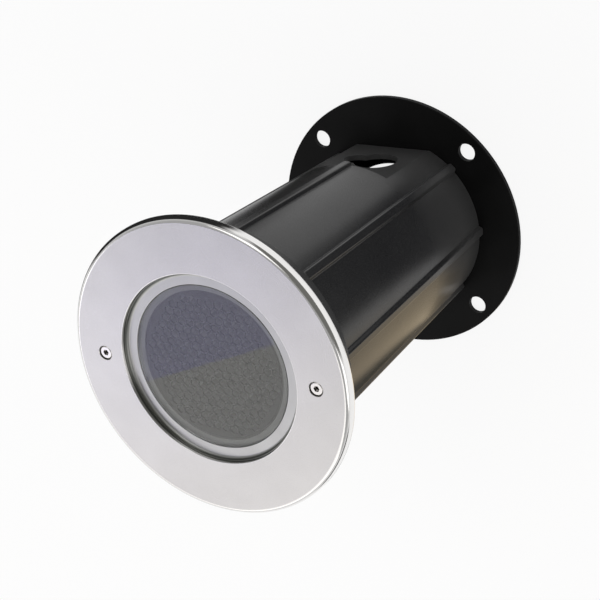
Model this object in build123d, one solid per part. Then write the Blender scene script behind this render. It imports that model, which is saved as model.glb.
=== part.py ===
"""In-ground well light: a ribbed sleeve, a sealed lamp unit that lifts out, and an aimed lamp inside it."""
import os
from math import atan, cos, degrees, hypot, radians, sin

from build123d import *

os.makedirs("parts", exist_ok=True)

# ---------------------------------------------------------------- driving dimensions (millimetres)
# Clearances
SLIDE_GAP = 0.6  # lamp unit in the mouth of the sleeve
FIT_GAP = 0.1  # pieces that drop into each other
GLASS_GAP = 0.2  # around the glass
RUN_GAP = 0.05  # a turning shaft in its hole
HOLE_GAP = 0.2  # a screw in its clearance hole

# Base flange
FLANGE_WIDTH = 24.7  # beyond the sleeve's foot
FLANGE_THICKNESS = 3.0
FLANGE_LIP = 12.8  # inside the sleeve's wall
FLANGE_EDGE_ROUND = 0.5
ANCHOR_EDGE = 9.7  # anchor hole centre to the flange's rim
ANCHOR_HOLE_RADIUS = 5.25
ANCHOR_COUNT = 4

# Sleeve
SLEEVE_RIB_HEIGHT = 184.0
SLEEVE_TAPER = 8.5
SLEEVE_WALL = 3.0
RIB_COUNT = 8
RIB_PROUD = 2.2
RIB_ROOT_WIDTH = 6.6
RIB_CREST_WIDTH = 4.2
RIB_CREST_ROUND = 1.1
RIB_FOOT_ROUND = 1.0
RIB_FOOT_REACH = 2.0
RIB_BED_DEPTH = 0.3  # the flat bed of a rib lies this far under the round wall
RIB_DEPTH_IN_WALL = 2.0
COLLAR_EDGE = 7.0  # screw centre to the collar's outside
COLLAR_HEIGHT = 17.0
COLLAR_WALL = 2.5
COLLAR_EDGE_ROUND = 0.8
FOOT_BOSS_INSET = 6.5  # boss centre in from the sleeve's outside
FOOT_BOSS_RADIUS = 3.6
FOOT_BOSS_HEIGHT = 16.0

# Cable entry: a flat pocket in the foot of the sleeve with a keyhole opening
ENTRY_ANGLE = 135.0
ENTRY_DEPTH = 5.8
ENTRY_TOP_HEIGHT = 53.0
ENTRY_HOLE_RADIUS = 12.75
ENTRY_HOLE_HEIGHT = 26.0
ENTRY_HOLE_OFFSET = 2.9
ENTRY_NECK_WIDTH = 14.0
ENTRY_NECK_REACH = 20.4

# Trim and its two screws
TRIM_OVERHANG = 11.5  # beyond the collar
TRIM_THICKNESS = 6.0
TRIM_TOP_ROUND = 2.8
TRIM_BACK_ROUND = 1.0
TRIM_GROOVE_DEPTH = 3.0
TRIM_GROOVE_INSET = 4.0
WINDOW_EDGE_ROUND = 0.4
TRIM_GASKET_THICKNESS = 1.0
SCREW_EDGE = 6.2  # screw centre out from the sleeve's mouth
SCREW_ANGLE = 45.0
SCREW_RADIUS = 2.0
SCREW_TIP_GAP = 0.6
SCREW_HEAD_RADIUS = 3.6
SCREW_HEAD_HEIGHT = 2.4
SCREW_SEAT_RADIUS = 4.5
SCREW_SEAT_DEPTH = 2.9
SCREW_SOCKET_WIDTH = 3.0
SCREW_SOCKET_DEPTH = 1.6
INSERT_RADIUS = 3.2
INSERT_LENGTH = 9.0
SCREW_BOSS_RADIUS = 5.6

# Bezel, glass and louvre
BEZEL_FACE_WIDTH = 7.1
BEZEL_RECESS = 3.9
BEZEL_COVE_RADIUS = 1.9
BEZEL_FLANGE_THICKNESS = 4.0
BEZEL_SKIRT_WALL = 2.0
GLASS_RADIUS = 45.3
GLASS_THICKNESS = 3.0
GLASS_EDGE_ROUND = 0.3
LENS_SEAL_THICKNESS = 1.0
LENS_SEAL_WIDTH = 3.6
LOUVRE_DEPTH = 8.0
LOUVRE_TOP_GAP = 0.2
LOUVRE_FRAME_WALL = 0.9
LOUVRE_LIP = 1.2
LOUVRE_CELL_PITCH = 5.0
LOUVRE_CELL_WALL = 0.5
LOUVRE_TURN = 41.0
LOUVRE_RIM = 0.7

# Lamp housing
HOUSING_WALL = 3.5
HOUSING_BORE_MARGIN = 1.7  # top bore beyond the glass
HOUSING_STEP = 2.0
HOUSING_FLANGE_MARGIN = 4.6  # flange beyond the window
HOUSING_FLANGE_THICKNESS = 5.0
HOUSING_FIN_COUNT = 24
HOUSING_FIN_WIDTH = 1.8
HOUSING_FIN_PROUD = 2.2
HOUSING_FIN_INSET = 5.0
HOUSING_EDGE_ROUND = 3.0
HOUSING_GASKET_THICKNESS = 0.8
HOUSING_SCREW_COUNT = 4
HOUSING_SCREW_RADIUS = 1.25
HOUSING_SCREW_HEAD_RADIUS = 2.3
HOUSING_SCREW_HEAD_HEIGHT = 1.6
HOUSING_SCREW_BITE = 3.5

# Driver
DRIVER_POST_COUNT = 3
DRIVER_POST_INSET = 7.0  # post centre in from the driver's side
DRIVER_POST_RADIUS = 4.0
DRIVER_POST_HEIGHT = 8.5
DRIVER_SIDE_GAP = 8.0
DRIVER_HEIGHT = 18.0
DRIVER_WALL = 2.0
DRIVER_LID_THICKNESS = 2.0
DRIVER_SCREW_RADIUS = 1.4
DRIVER_SCREW_LENGTH = 9.0
DRIVER_SCREW_HEAD_RADIUS = 2.6
DRIVER_SCREW_HEAD_HEIGHT = 1.8
BOARD_RADIUS = 22.0
BOARD_THICKNESS = 1.6
BOARD_STANDOFF = 2.0
BOARD_STANDOFF_RADIUS = 2.5
TRANSFORMER_SIZE = 13.0
TRANSFORMER_HEIGHT = 9.0
CAPACITOR_RADIUS = 4.0
CAPACITOR_HEIGHT = 8.5
TERMINAL_LENGTH = 24.0
TERMINAL_WIDTH = 11.0
TERMINAL_HEIGHT = 8.0
TERMINAL_OFFSET = 18.0
TERMINAL_POLES = 3
TERMINAL_HOLE_RADIUS = 1.7
LEAD_HOLE_RADIUS = 3.0

# Turntable and yoke
PLATE_HEIGHT_ABOVE_DRIVER = 10.0
PLATE_THICKNESS = 2.5
CIRCLIP_THICKNESS = 1.5
CIRCLIP_GROOVE = 1.2
CIRCLIP_WIDTH = 2.2
CIRCLIP_OPENING = 24.0
PIVOT_RADIUS = 3.0
PIVOT_HEAD_RADIUS = 6.0
PIVOT_HEAD_HEIGHT = 2.0
PIVOT_NUT_WIDTH = 10.0
PIVOT_NUT_HEIGHT = 4.0
TURN_WASHER_THICKNESS = 0.5
TURN_WASHER_RADIUS = 13.0
YOKE_THICKNESS = 2.0
YOKE_WIDTH = 18.0
YOKE_HUB_RADIUS = 15.0
SWING_ROOM_BELOW = 11.0  # under the heat sink when the lamp is upright
SWING_ROOM_ABOVE = 9.9  # between barrel and louvre when the lamp is upright
TILT_SCREW_RADIUS = 2.5
TILT_HEAD_RADIUS = 4.5
TILT_HEAD_HEIGHT = 2.4
TILT_WASHER_RADIUS = 5.0
TILT_WASHER_THICKNESS = 1.0

# Lamp head
BARREL_SIDE_ROOM = 13.0
BARREL_WALL = 2.0
BARREL_ABOVE_AXIS = 30.0
BARREL_BELOW_AXIS = 10.0
BARREL_BOSS_RADIUS = 6.0
BARREL_BOSS_PROUD = 1.5
SINK_SPIGOT_HEIGHT = 4.0
SINK_FLANGE_THICKNESS = 3.0
SINK_FIN_HEIGHT = 15.0
SINK_FIN_THICKNESS = 1.8
SINK_FIN_COUNT = 9
SINK_FIN_INSET = 4.0
LED_BOARD_RADIUS = 14.0
LED_BOARD_THICKNESS = 1.6
EMITTER_RADIUS = 6.0
EMITTER_THICKNESS = 1.0
REFLECTOR_THROAT_RADIUS = 7.6
REFLECTOR_WALL = 1.0
REFLECTOR_BULGE = 3.5
COVER_THICKNESS = 1.5
RETAINER_HEIGHT = 1.6
RETAINER_WIDTH = 2.4

# Cable gland
GLAND_THREAD_RADIUS = 8.0
GLAND_BORE_RADIUS = 5.0
GLAND_HEX_WIDTH = 22.0
GLAND_HEX_HEIGHT = 7.0
GLAND_NECK_HEIGHT = 8.0
GLAND_WASHER_THICKNESS = 1.5
GLAND_WASHER_RADIUS = 11.0
LOCKNUT_HEIGHT = 4.0
GLAND_NUT_HEIGHT = 13.0
GLAND_NUT_RADIUS = 12.0
GLAND_NUT_FLOOR = 2.5
GLAND_SEAL_LENGTH = 9.0
GLAND_SEAL_WALL = 2.3
CABLE_RADIUS = 3.5

# ---------------------------------------------------------------- radii that follow, from the glass out
BEZEL_BORE = GLASS_RADIUS + GLASS_GAP
WINDOW_RADIUS = BEZEL_BORE + BEZEL_FACE_WIDTH
BEZEL_RIM_RADIUS = WINDOW_RADIUS - GLASS_GAP
UNIT_RADIUS = WINDOW_RADIUS + HOUSING_FLANGE_MARGIN
MOUTH_RADIUS = UNIT_RADIUS + SLIDE_GAP
SCREW_CIRCLE_RADIUS = MOUTH_RADIUS + SCREW_EDGE
COLLAR_RADIUS = SCREW_CIRCLE_RADIUS + COLLAR_EDGE
TRIM_RADIUS = COLLAR_RADIUS + TRIM_OVERHANG
SLEEVE_TOP_RADIUS = MOUTH_RADIUS + SLEEVE_WALL
SLEEVE_FOOT_RADIUS = SLEEVE_TOP_RADIUS - SLEEVE_TAPER
DRAFT = SLEEVE_TAPER / SLEEVE_RIB_HEIGHT
DRAFT_ANGLE = degrees(atan(DRAFT))
FOOT_BOSS_CIRCLE_RADIUS = SLEEVE_FOOT_RADIUS - FOOT_BOSS_INSET
FLANGE_RADIUS = SLEEVE_FOOT_RADIUS + FLANGE_WIDTH
FLANGE_OPENING_RADIUS = SLEEVE_FOOT_RADIUS - SLEEVE_WALL - FLANGE_LIP
ANCHOR_CIRCLE_RADIUS = FLANGE_RADIUS - ANCHOR_EDGE

LENS_SEAL_BORE = BEZEL_BORE - FIT_GAP - LENS_SEAL_WIDTH
LOUVRE_FRAME_RADIUS = LENS_SEAL_BORE - GLASS_GAP
LOUVRE_RADIUS = LOUVRE_FRAME_RADIUS - LOUVRE_FRAME_WALL - FIT_GAP
HOUSING_TOP_BORE = GLASS_RADIUS + HOUSING_BORE_MARGIN
HOUSING_MID_BORE = HOUSING_TOP_BORE - HOUSING_STEP
HOUSING_LOWER_BORE = HOUSING_MID_BORE - HOUSING_STEP
HOUSING_SCREW_CIRCLE_RADIUS = (WINDOW_RADIUS + UNIT_RADIUS) / 2
DRIVER_RADIUS = HOUSING_LOWER_BORE - DRIVER_SIDE_GAP
DRIVER_POST_CIRCLE_RADIUS = DRIVER_RADIUS - DRIVER_POST_INSET
PLATE_RADIUS = HOUSING_MID_BORE - 3 * FIT_GAP
BARREL_RADIUS = HOUSING_MID_BORE - BARREL_SIDE_ROOM
BARREL_BORE = BARREL_RADIUS - BARREL_WALL
BOSS_FACE = BARREL_RADIUS + BARREL_BOSS_PROUD
ARM_INNER = BOSS_FACE + TILT_WASHER_THICKNESS
ARM_OUTER = ARM_INNER + YOKE_THICKNESS
REFLECTOR_RADIUS = BARREL_BORE - 2 * FIT_GAP
SINK_FIN_RADIUS = BARREL_RADIUS - SINK_FIN_INSET
GLAND_SEAL_RADIUS = CABLE_RADIUS + GLAND_SEAL_WALL

# ---------------------------------------------------------------- levels that follow
SLEEVE_BOTTOM = FLANGE_THICKNESS
COLLAR_BOTTOM = SLEEVE_BOTTOM + SLEEVE_RIB_HEIGHT
COLLAR_TOP = COLLAR_BOTTOM + COLLAR_HEIGHT
TRIM_BOTTOM = COLLAR_TOP + TRIM_GASKET_THICKNESS
TRIM_TOP = TRIM_BOTTOM + TRIM_THICKNESS
SCREW_SEAT = TRIM_TOP - SCREW_SEAT_DEPTH
SCREW_TIP = COLLAR_BOTTOM + COLLAR_WALL + SCREW_TIP_GAP

BEZEL_TOP = TRIM_TOP - BEZEL_RECESS
BEZEL_BOTTOM = TRIM_BOTTOM - BEZEL_FLANGE_THICKNESS
GLASS_BOTTOM = BEZEL_TOP - GLASS_THICKNESS
LENS_SEAL_BOTTOM = GLASS_BOTTOM - LENS_SEAL_THICKNESS
LOUVRE_TOP = GLASS_BOTTOM - LOUVRE_TOP_GAP
LOUVRE_BOTTOM = LOUVRE_TOP - LOUVRE_DEPTH
HOUSING_TOP = BEZEL_BOTTOM - HOUSING_GASKET_THICKNESS

BARREL_TOP = LOUVRE_BOTTOM - SWING_ROOM_ABOVE
TILT_AXIS = BARREL_TOP - BARREL_ABOVE_AXIS
BARREL_BOTTOM = TILT_AXIS - BARREL_BELOW_AXIS
SINK_TOP = BARREL_BOTTOM + SINK_SPIGOT_HEIGHT
LED_TOP = SINK_TOP + LED_BOARD_THICKNESS
RETAINER_BOTTOM = BARREL_TOP - RETAINER_HEIGHT
COVER_BOTTOM = RETAINER_BOTTOM - COVER_THICKNESS
FIN_BOTTOM = BARREL_BOTTOM - SINK_FLANGE_THICKNESS - SINK_FIN_HEIGHT

YOKE_BOTTOM = FIN_BOTTOM - SWING_ROOM_BELOW
YOKE_TOP = YOKE_BOTTOM + YOKE_THICKNESS
PLATE_TOP = YOKE_BOTTOM - TURN_WASHER_THICKNESS
PLATE_BOTTOM = PLATE_TOP - PLATE_THICKNESS
TERMINAL_BOTTOM = PLATE_BOTTOM - PLATE_HEIGHT_ABOVE_DRIVER
DRIVER_TOP = TERMINAL_BOTTOM - DRIVER_LID_THICKNESS
DRIVER_BOTTOM = DRIVER_TOP - DRIVER_HEIGHT
HOUSING_FLOOR = DRIVER_BOTTOM - DRIVER_POST_HEIGHT
HOUSING_BOTTOM = HOUSING_FLOOR - HOUSING_WALL

GLAND_HEX_TOP = HOUSING_BOTTOM - GLAND_WASHER_THICKNESS
GLAND_HEX_BOTTOM = GLAND_HEX_TOP - GLAND_HEX_HEIGHT
GLAND_NECK_BOTTOM = GLAND_HEX_BOTTOM - GLAND_NECK_HEIGHT
GLAND_NUT_TOP = GLAND_HEX_BOTTOM - FIT_GAP
GLAND_NUT_BOTTOM = GLAND_NUT_TOP - GLAND_NUT_HEIGHT
GLAND_SEAL_BOTTOM = GLAND_NUT_BOTTOM + GLAND_NUT_FLOOR
LOCKNUT_TOP = HOUSING_FLOOR + LOCKNUT_HEIGHT


# ---------------------------------------------------------------- helpers
def lathe(*points):
    """Revolve a closed outline of (radius, height) points about the upright axis."""
    outline = make_face(Polyline(*[(r, 0, z) for r, z in points], close=True))
    return revolve(outline, Axis.Z, 360)


def disc(radius, bottom, top):
    """A plain upright disc between two levels."""
    return Pos(0, 0, bottom) * extrude(Circle(radius), top - bottom)


def ring(outer, inner, bottom, top):
    """A plain upright ring between two levels."""
    return Pos(0, 0, bottom) * extrude(Circle(outer) - Circle(inner), top - bottom)


def hexagon(width, bottom, top):
    """An upright hexagonal bar, width across its flats."""
    flats = RegularPolygon(width / 2, 6, major_radius=False)
    return Pos(0, 0, bottom) * extrude(flats, top - bottom)


def around(shape, count, start=0.0):
    """Copies of a shape, evenly spaced about the upright axis."""
    return [Rot(0, 0, start + 360 * i / count) * shape for i in range(count)]


def round_edges(shape, radius, level, at_radius):
    """Round the circular edges of one radius at one level."""
    edges = [
        edge
        for edge in shape.edges().filter_by(GeomType.CIRCLE)
        if abs(edge.radius - at_radius) < 0.01 and abs(edge.center().Z - level) < 0.01
    ]
    return fillet(edges, radius)


def save(shape, name):
    """Write one sub-part."""
    shape.label = name
    export_step(shape, f"parts/{name}.step")


# ---------------------------------------------------------------- sleeve and base
def sleeve_rib():
    """One outer rib, leaning out with the sleeve's draft, rounded along its crest and its foot."""
    root = SLEEVE_FOOT_RADIUS - RIB_DEPTH_IN_WALL
    bed = SLEEVE_FOOT_RADIUS - RIB_BED_DEPTH
    crest = SLEEVE_FOOT_RADIUS + RIB_PROUD
    bed_edge = RIB_ROOT_WIDTH / 2 + RIB_FOOT_REACH
    section = make_face(
        Polyline(
            (root, -bed_edge),
            (bed, -bed_edge),
            (bed, -RIB_ROOT_WIDTH / 2),
            (crest, -RIB_CREST_WIDTH / 2),
            (crest, RIB_CREST_WIDTH / 2),
            (bed, RIB_ROOT_WIDTH / 2),
            (bed, bed_edge),
            (root, bed_edge),
            close=True,
        )
    )
    foot = [point for point in section.vertices() if abs(abs(point.Y) - RIB_ROOT_WIDTH / 2) < 0.01]
    section = fillet(foot, RIB_FOOT_ROUND)
    section = fillet(section.vertices().group_by(Axis.X)[-1], RIB_CREST_ROUND)
    lean = SLEEVE_TOP_RADIUS - SLEEVE_FOOT_RADIUS
    slant = hypot(lean, SLEEVE_RIB_HEIGHT)
    return extrude(Pos(0, 0, SLEEVE_BOTTOM) * section, slant, dir=(lean, 0, SLEEVE_RIB_HEIGHT))


def at_entry(shape):
    """Place a shape, modelled on the +X side, on the cable entry's leaning plane."""
    return Rot(0, 0, ENTRY_ANGLE) * Pos(SLEEVE_FOOT_RADIUS - ENTRY_DEPTH, 0, SLEEVE_BOTTOM) * (
        Rot(0, DRAFT_ANGLE, 0) * shape
    )


def beyond_entry_plane(setback, top):
    """Everything outside the entry's plane, set back into the wall, up to a level."""
    reach = FLANGE_RADIUS
    block = Box(reach, 2 * reach, 2 * reach, align=(Align.MIN, Align.CENTER, Align.CENTER))
    return at_entry(Pos(-setback, 0, 0) * block) & disc(2 * reach, 0, top)


def entry_opening():
    """The keyhole cut of the cable entry: a round hole with a wide neck to one side."""
    neck_end = ENTRY_NECK_REACH - ENTRY_NECK_WIDTH / 2
    outline = Circle(ENTRY_HOLE_RADIUS)
    outline = outline + Pos(neck_end / 2, 0) * Rectangle(neck_end, ENTRY_NECK_WIDTH)
    outline = outline + Pos(neck_end, 0) * Circle(ENTRY_NECK_WIDTH / 2)
    face = Plane(
        origin=(-2 * SLEEVE_WALL, -ENTRY_HOLE_OFFSET, ENTRY_HOLE_HEIGHT),
        x_dir=(0, 1, 0),
        z_dir=(1, 0, 0),
    )
    return at_entry(extrude(face * outline, 4 * SLEEVE_WALL))


def mounting_sleeve():
    """The ribbed sleeve: drafted wall, collar with two screw bosses, cable pocket and foot bosses."""
    entry_top = SLEEVE_BOTTOM + ENTRY_TOP_HEIGHT
    outside = lathe(
        (0, SLEEVE_BOTTOM),
        (SLEEVE_FOOT_RADIUS, SLEEVE_BOTTOM),
        (SLEEVE_TOP_RADIUS, COLLAR_BOTTOM),
        (COLLAR_RADIUS, COLLAR_BOTTOM),
        (COLLAR_RADIUS, COLLAR_TOP),
        (0, COLLAR_TOP),
    )
    outside = round_edges(outside, COLLAR_EDGE_ROUND, COLLAR_BOTTOM, COLLAR_RADIUS)
    outside = outside + around(sleeve_rib(), RIB_COUNT)
    outside = outside - beyond_entry_plane(0, entry_top)

    inside = lathe(
        (0, SLEEVE_BOTTOM),
        (SLEEVE_FOOT_RADIUS - SLEEVE_WALL, SLEEVE_BOTTOM),
        (MOUTH_RADIUS, COLLAR_BOTTOM),
        (MOUTH_RADIUS, COLLAR_TOP),
        (0, COLLAR_TOP),
    )
    inside = inside - beyond_entry_plane(SLEEVE_WALL, entry_top + SLEEVE_WALL)
    foot_boss = Pos(FOOT_BOSS_CIRCLE_RADIUS, 0, 0) * disc(
        FOOT_BOSS_RADIUS, SLEEVE_BOTTOM, SLEEVE_BOTTOM + FOOT_BOSS_HEIGHT
    )
    for boss in around(foot_boss, ANCHOR_COUNT):
        inside = inside - boss

    channel = ring(
        COLLAR_RADIUS - COLLAR_WALL,
        MOUTH_RADIUS + COLLAR_WALL,
        COLLAR_BOTTOM + COLLAR_WALL,
        COLLAR_TOP,
    )
    screw_boss = Pos(SCREW_CIRCLE_RADIUS, 0, 0) * disc(SCREW_BOSS_RADIUS, COLLAR_BOTTOM, COLLAR_TOP)
    insert_hole = Pos(SCREW_CIRCLE_RADIUS, 0, 0) * disc(
        INSERT_RADIUS, COLLAR_TOP - INSERT_LENGTH, COLLAR_TOP
    )
    tip_hole = Pos(SCREW_CIRCLE_RADIUS, 0, 0) * disc(
        SCREW_RADIUS + HOLE_GAP, COLLAR_BOTTOM + COLLAR_WALL, COLLAR_TOP
    )
    web = Box(COLLAR_RADIUS - MOUTH_RADIUS - COLLAR_WALL, SLEEVE_WALL / 2, COLLAR_HEIGHT)
    web = Pos((COLLAR_RADIUS + MOUTH_RADIUS) / 2, 0, (COLLAR_BOTTOM + COLLAR_TOP) / 2) * web
    for boss in around(screw_boss, 2, SCREW_ANGLE):
        channel = channel - boss
    for stiffener in around(web, RIB_COUNT, SCREW_ANGLE / 2):
        channel = channel - stiffener

    sleeve = outside - inside - channel - entry_opening()
    for hole in around(insert_hole + tip_hole, 2, SCREW_ANGLE):
        sleeve = sleeve - hole
    pilot = Pos(FOOT_BOSS_CIRCLE_RADIUS, 0, 0) * disc(
        DRIVER_SCREW_RADIUS + RUN_GAP, SLEEVE_BOTTOM, SLEEVE_BOTTOM + FOOT_BOSS_HEIGHT - SLEEVE_WALL
    )
    for hole in around(pilot, ANCHOR_COUNT):
        sleeve = sleeve - hole
    return sleeve


def base_flange():
    """The flat foot ring with its anchor holes and countersunk holes for the sleeve's screws."""
    flange = ring(FLANGE_RADIUS, FLANGE_OPENING_RADIUS, 0, FLANGE_THICKNESS)
    flange = round_edges(flange, FLANGE_EDGE_ROUND, FLANGE_THICKNESS, FLANGE_RADIUS)
    anchor = Pos(ANCHOR_CIRCLE_RADIUS, 0, 0) * disc(ANCHOR_HOLE_RADIUS, 0, FLANGE_THICKNESS)
    for hole in around(anchor, ANCHOR_COUNT):
        flange = flange - hole
    seat = Pos(FOOT_BOSS_CIRCLE_RADIUS, 0, 0) * countersink(HOLE_GAP)
    for hole in around(seat, ANCHOR_COUNT):
        flange = flange - hole
    return flange


def countersink(gap):
    """The shape of a small countersunk screw in the flange, grown by a gap."""
    shank = DRIVER_SCREW_RADIUS + gap
    head = DRIVER_SCREW_HEAD_RADIUS + gap
    return lathe(
        (0, 0),
        (head, 0),
        (shank, head - shank),
        (shank, FLANGE_THICKNESS),
        (0, FLANGE_THICKNESS),
    )


def flange_screws():
    """The small countersunk screws that hold the flange to the sleeve."""
    shank = disc(DRIVER_SCREW_RADIUS, FLANGE_THICKNESS, FLANGE_THICKNESS + DRIVER_SCREW_LENGTH)
    slot = Box(2 * DRIVER_SCREW_HEAD_RADIUS, FLANGE_EDGE_ROUND, 2 * FLANGE_EDGE_ROUND)
    screw = countersink(0) + shank - slot - Rot(0, 0, 90) * slot
    screw = Pos(FOOT_BOSS_CIRCLE_RADIUS, 0, 0) * screw
    return Compound(around(screw, ANCHOR_COUNT))


def threaded_inserts():
    """The brass inserts in the collar's bosses that the face screws run into."""
    insert = ring(INSERT_RADIUS, SCREW_RADIUS + RUN_GAP, COLLAR_TOP - INSERT_LENGTH, COLLAR_TOP)
    insert = Pos(SCREW_CIRCLE_RADIUS, 0, 0) * insert
    return Compound(around(insert, 2, SCREW_ANGLE))


def trim_gasket():
    """The flat gasket that lies on the collar."""
    gasket = ring(COLLAR_RADIUS - FLANGE_EDGE_ROUND, MOUTH_RADIUS, COLLAR_TOP, TRIM_BOTTOM)
    hole = Pos(SCREW_CIRCLE_RADIUS, 0, 0) * disc(SCREW_RADIUS + HOLE_GAP, COLLAR_TOP, TRIM_BOTTOM)
    for cut in around(hole, 2, SCREW_ANGLE):
        gasket = gasket - cut
    return gasket


# ---------------------------------------------------------------- trim, bezel and glass
def trim_ring():
    """The stainless trim: rounded rim, window, counterbored screw holes and a groove underneath."""
    trim = ring(TRIM_RADIUS, WINDOW_RADIUS, TRIM_BOTTOM, TRIM_TOP)
    trim = round_edges(trim, TRIM_TOP_ROUND, TRIM_TOP, TRIM_RADIUS)
    trim = round_edges(trim, TRIM_BACK_ROUND, TRIM_BOTTOM, TRIM_RADIUS)
    trim = round_edges(trim, WINDOW_EDGE_ROUND, TRIM_TOP, WINDOW_RADIUS)
    trim = trim - ring(
        TRIM_RADIUS - TRIM_GROOVE_INSET,
        COLLAR_RADIUS + SLIDE_GAP,
        TRIM_BOTTOM,
        TRIM_BOTTOM + TRIM_GROOVE_DEPTH,
    )
    seat = disc(SCREW_SEAT_RADIUS, SCREW_SEAT, TRIM_TOP)
    through = disc(SCREW_RADIUS + HOLE_GAP, TRIM_BOTTOM, TRIM_TOP)
    for hole in around(Pos(SCREW_CIRCLE_RADIUS, 0, 0) * (seat + through), 2, SCREW_ANGLE):
        trim = trim - hole
    tapped = disc(HOUSING_SCREW_RADIUS, TRIM_BOTTOM, TRIM_BOTTOM + HOUSING_SCREW_BITE)
    for hole in around(Pos(HOUSING_SCREW_CIRCLE_RADIUS, 0, 0) * tapped, HOUSING_SCREW_COUNT):
        trim = trim - hole
    return trim


def bezel_ring():
    """The pale ring around the glass: its face coves up to the window and its skirt holds the louvre."""
    cove_start = BEZEL_RIM_RADIUS - WINDOW_EDGE_ROUND - BEZEL_COVE_RADIUS
    cove_end = BEZEL_RIM_RADIUS - WINDOW_EDGE_ROUND
    cove_top = BEZEL_TOP + BEZEL_COVE_RADIUS
    skirt_outer = HOUSING_TOP_BORE - 2 * FIT_GAP
    skirt_bottom = LOUVRE_BOTTOM + LOUVRE_LIP
    middle = radians(45)
    cove = ThreePointArc(
        (cove_start, 0, BEZEL_TOP),
        (cove_start + BEZEL_COVE_RADIUS * sin(middle), 0, cove_top - BEZEL_COVE_RADIUS * cos(middle)),
        (cove_end, 0, cove_top),
    )
    rest = Polyline(
        *[
            (r, 0, z)
            for r, z in (
                (cove_end, cove_top),
                (BEZEL_RIM_RADIUS, cove_top),
                (BEZEL_RIM_RADIUS, TRIM_BOTTOM),
                (UNIT_RADIUS, TRIM_BOTTOM),
                (UNIT_RADIUS, BEZEL_BOTTOM),
                (skirt_outer, BEZEL_BOTTOM),
                (skirt_outer, skirt_bottom),
                (skirt_outer - BEZEL_SKIRT_WALL, skirt_bottom),
                (skirt_outer - BEZEL_SKIRT_WALL, BEZEL_BOTTOM),
                (LENS_SEAL_BORE, BEZEL_BOTTOM),
                (LENS_SEAL_BORE, LENS_SEAL_BOTTOM),
                (BEZEL_BORE, LENS_SEAL_BOTTOM),
                (BEZEL_BORE, BEZEL_TOP),
                (cove_start, BEZEL_TOP),
            )
        ]
    )
    bezel = revolve(make_face(cove + rest), Axis.Z, 360)
    hole = disc(HOUSING_SCREW_RADIUS + HOLE_GAP, BEZEL_BOTTOM, TRIM_BOTTOM)
    for cut in around(Pos(HOUSING_SCREW_CIRCLE_RADIUS, 0, 0) * hole, HOUSING_SCREW_COUNT):
        bezel = bezel - cut
    return bezel


def lens_seal():
    """The flat silicone seal under the edge of the glass."""
    return ring(BEZEL_BORE - FIT_GAP, LENS_SEAL_BORE, LENS_SEAL_BOTTOM, GLASS_BOTTOM)


def lens_glass():
    """The round glass, flush with the bezel."""
    glass = disc(GLASS_RADIUS, GLASS_BOTTOM, BEZEL_TOP)
    return round_edges(glass, GLASS_EDGE_ROUND, BEZEL_TOP, GLASS_RADIUS)


def louvre_frame():
    """The ring that holds the honeycomb, clamped by its lip between the bezel and the housing."""
    inner = LOUVRE_FRAME_RADIUS - LOUVRE_FRAME_WALL
    return lathe(
        (inner - LOUVRE_RIM, LOUVRE_BOTTOM),
        (HOUSING_TOP_BORE - 2 * FIT_GAP, LOUVRE_BOTTOM),
        (HOUSING_TOP_BORE - 2 * FIT_GAP, LOUVRE_BOTTOM + LOUVRE_LIP),
        (LOUVRE_FRAME_RADIUS, LOUVRE_BOTTOM + LOUVRE_LIP),
        (LOUVRE_FRAME_RADIUS, LOUVRE_TOP),
        (inner, LOUVRE_TOP),
        (inner, LOUVRE_BOTTOM + LOUVRE_LIP),
        (inner - LOUVRE_RIM, LOUVRE_BOTTOM + LOUVRE_LIP),
    )


def honeycomb_louvre():
    """The anti-glare honeycomb: one disc with a hexagonal cell in every place that fits."""
    cell = RegularPolygon((LOUVRE_CELL_PITCH - LOUVRE_CELL_WALL) / 2, 6, major_radius=False)
    cell_corner = LOUVRE_CELL_PITCH / 2 / cos(radians(30))
    row_height = LOUVRE_CELL_PITCH * cos(radians(30))
    rows = int(LOUVRE_RADIUS / row_height) + 1
    columns = int(LOUVRE_RADIUS / LOUVRE_CELL_PITCH) + 1
    open_area = Circle(LOUVRE_RADIUS - LOUVRE_RIM)
    cells = []
    for row in range(-rows, rows + 1):
        for column in range(-columns, columns + 1):
            x = LOUVRE_CELL_PITCH * (column + (row % 2) / 2)
            y = row_height * row
            reach = hypot(x, y)
            if reach + cell_corner < LOUVRE_RADIUS:
                cells.append(Pos(x, y) * Rot(0, 0, 30) * cell)
            elif reach < LOUVRE_RADIUS - LOUVRE_CELL_PITCH / 3:
                cells.append((Pos(x, y) * Rot(0, 0, 30) * cell) & open_area)
    bottom = LOUVRE_BOTTOM + LOUVRE_LIP
    disc_face = Rot(0, 0, LOUVRE_TURN) * (Circle(LOUVRE_RADIUS) - cells)
    return extrude(Pos(0, 0, bottom) * disc_face, LOUVRE_TOP - bottom)


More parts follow.
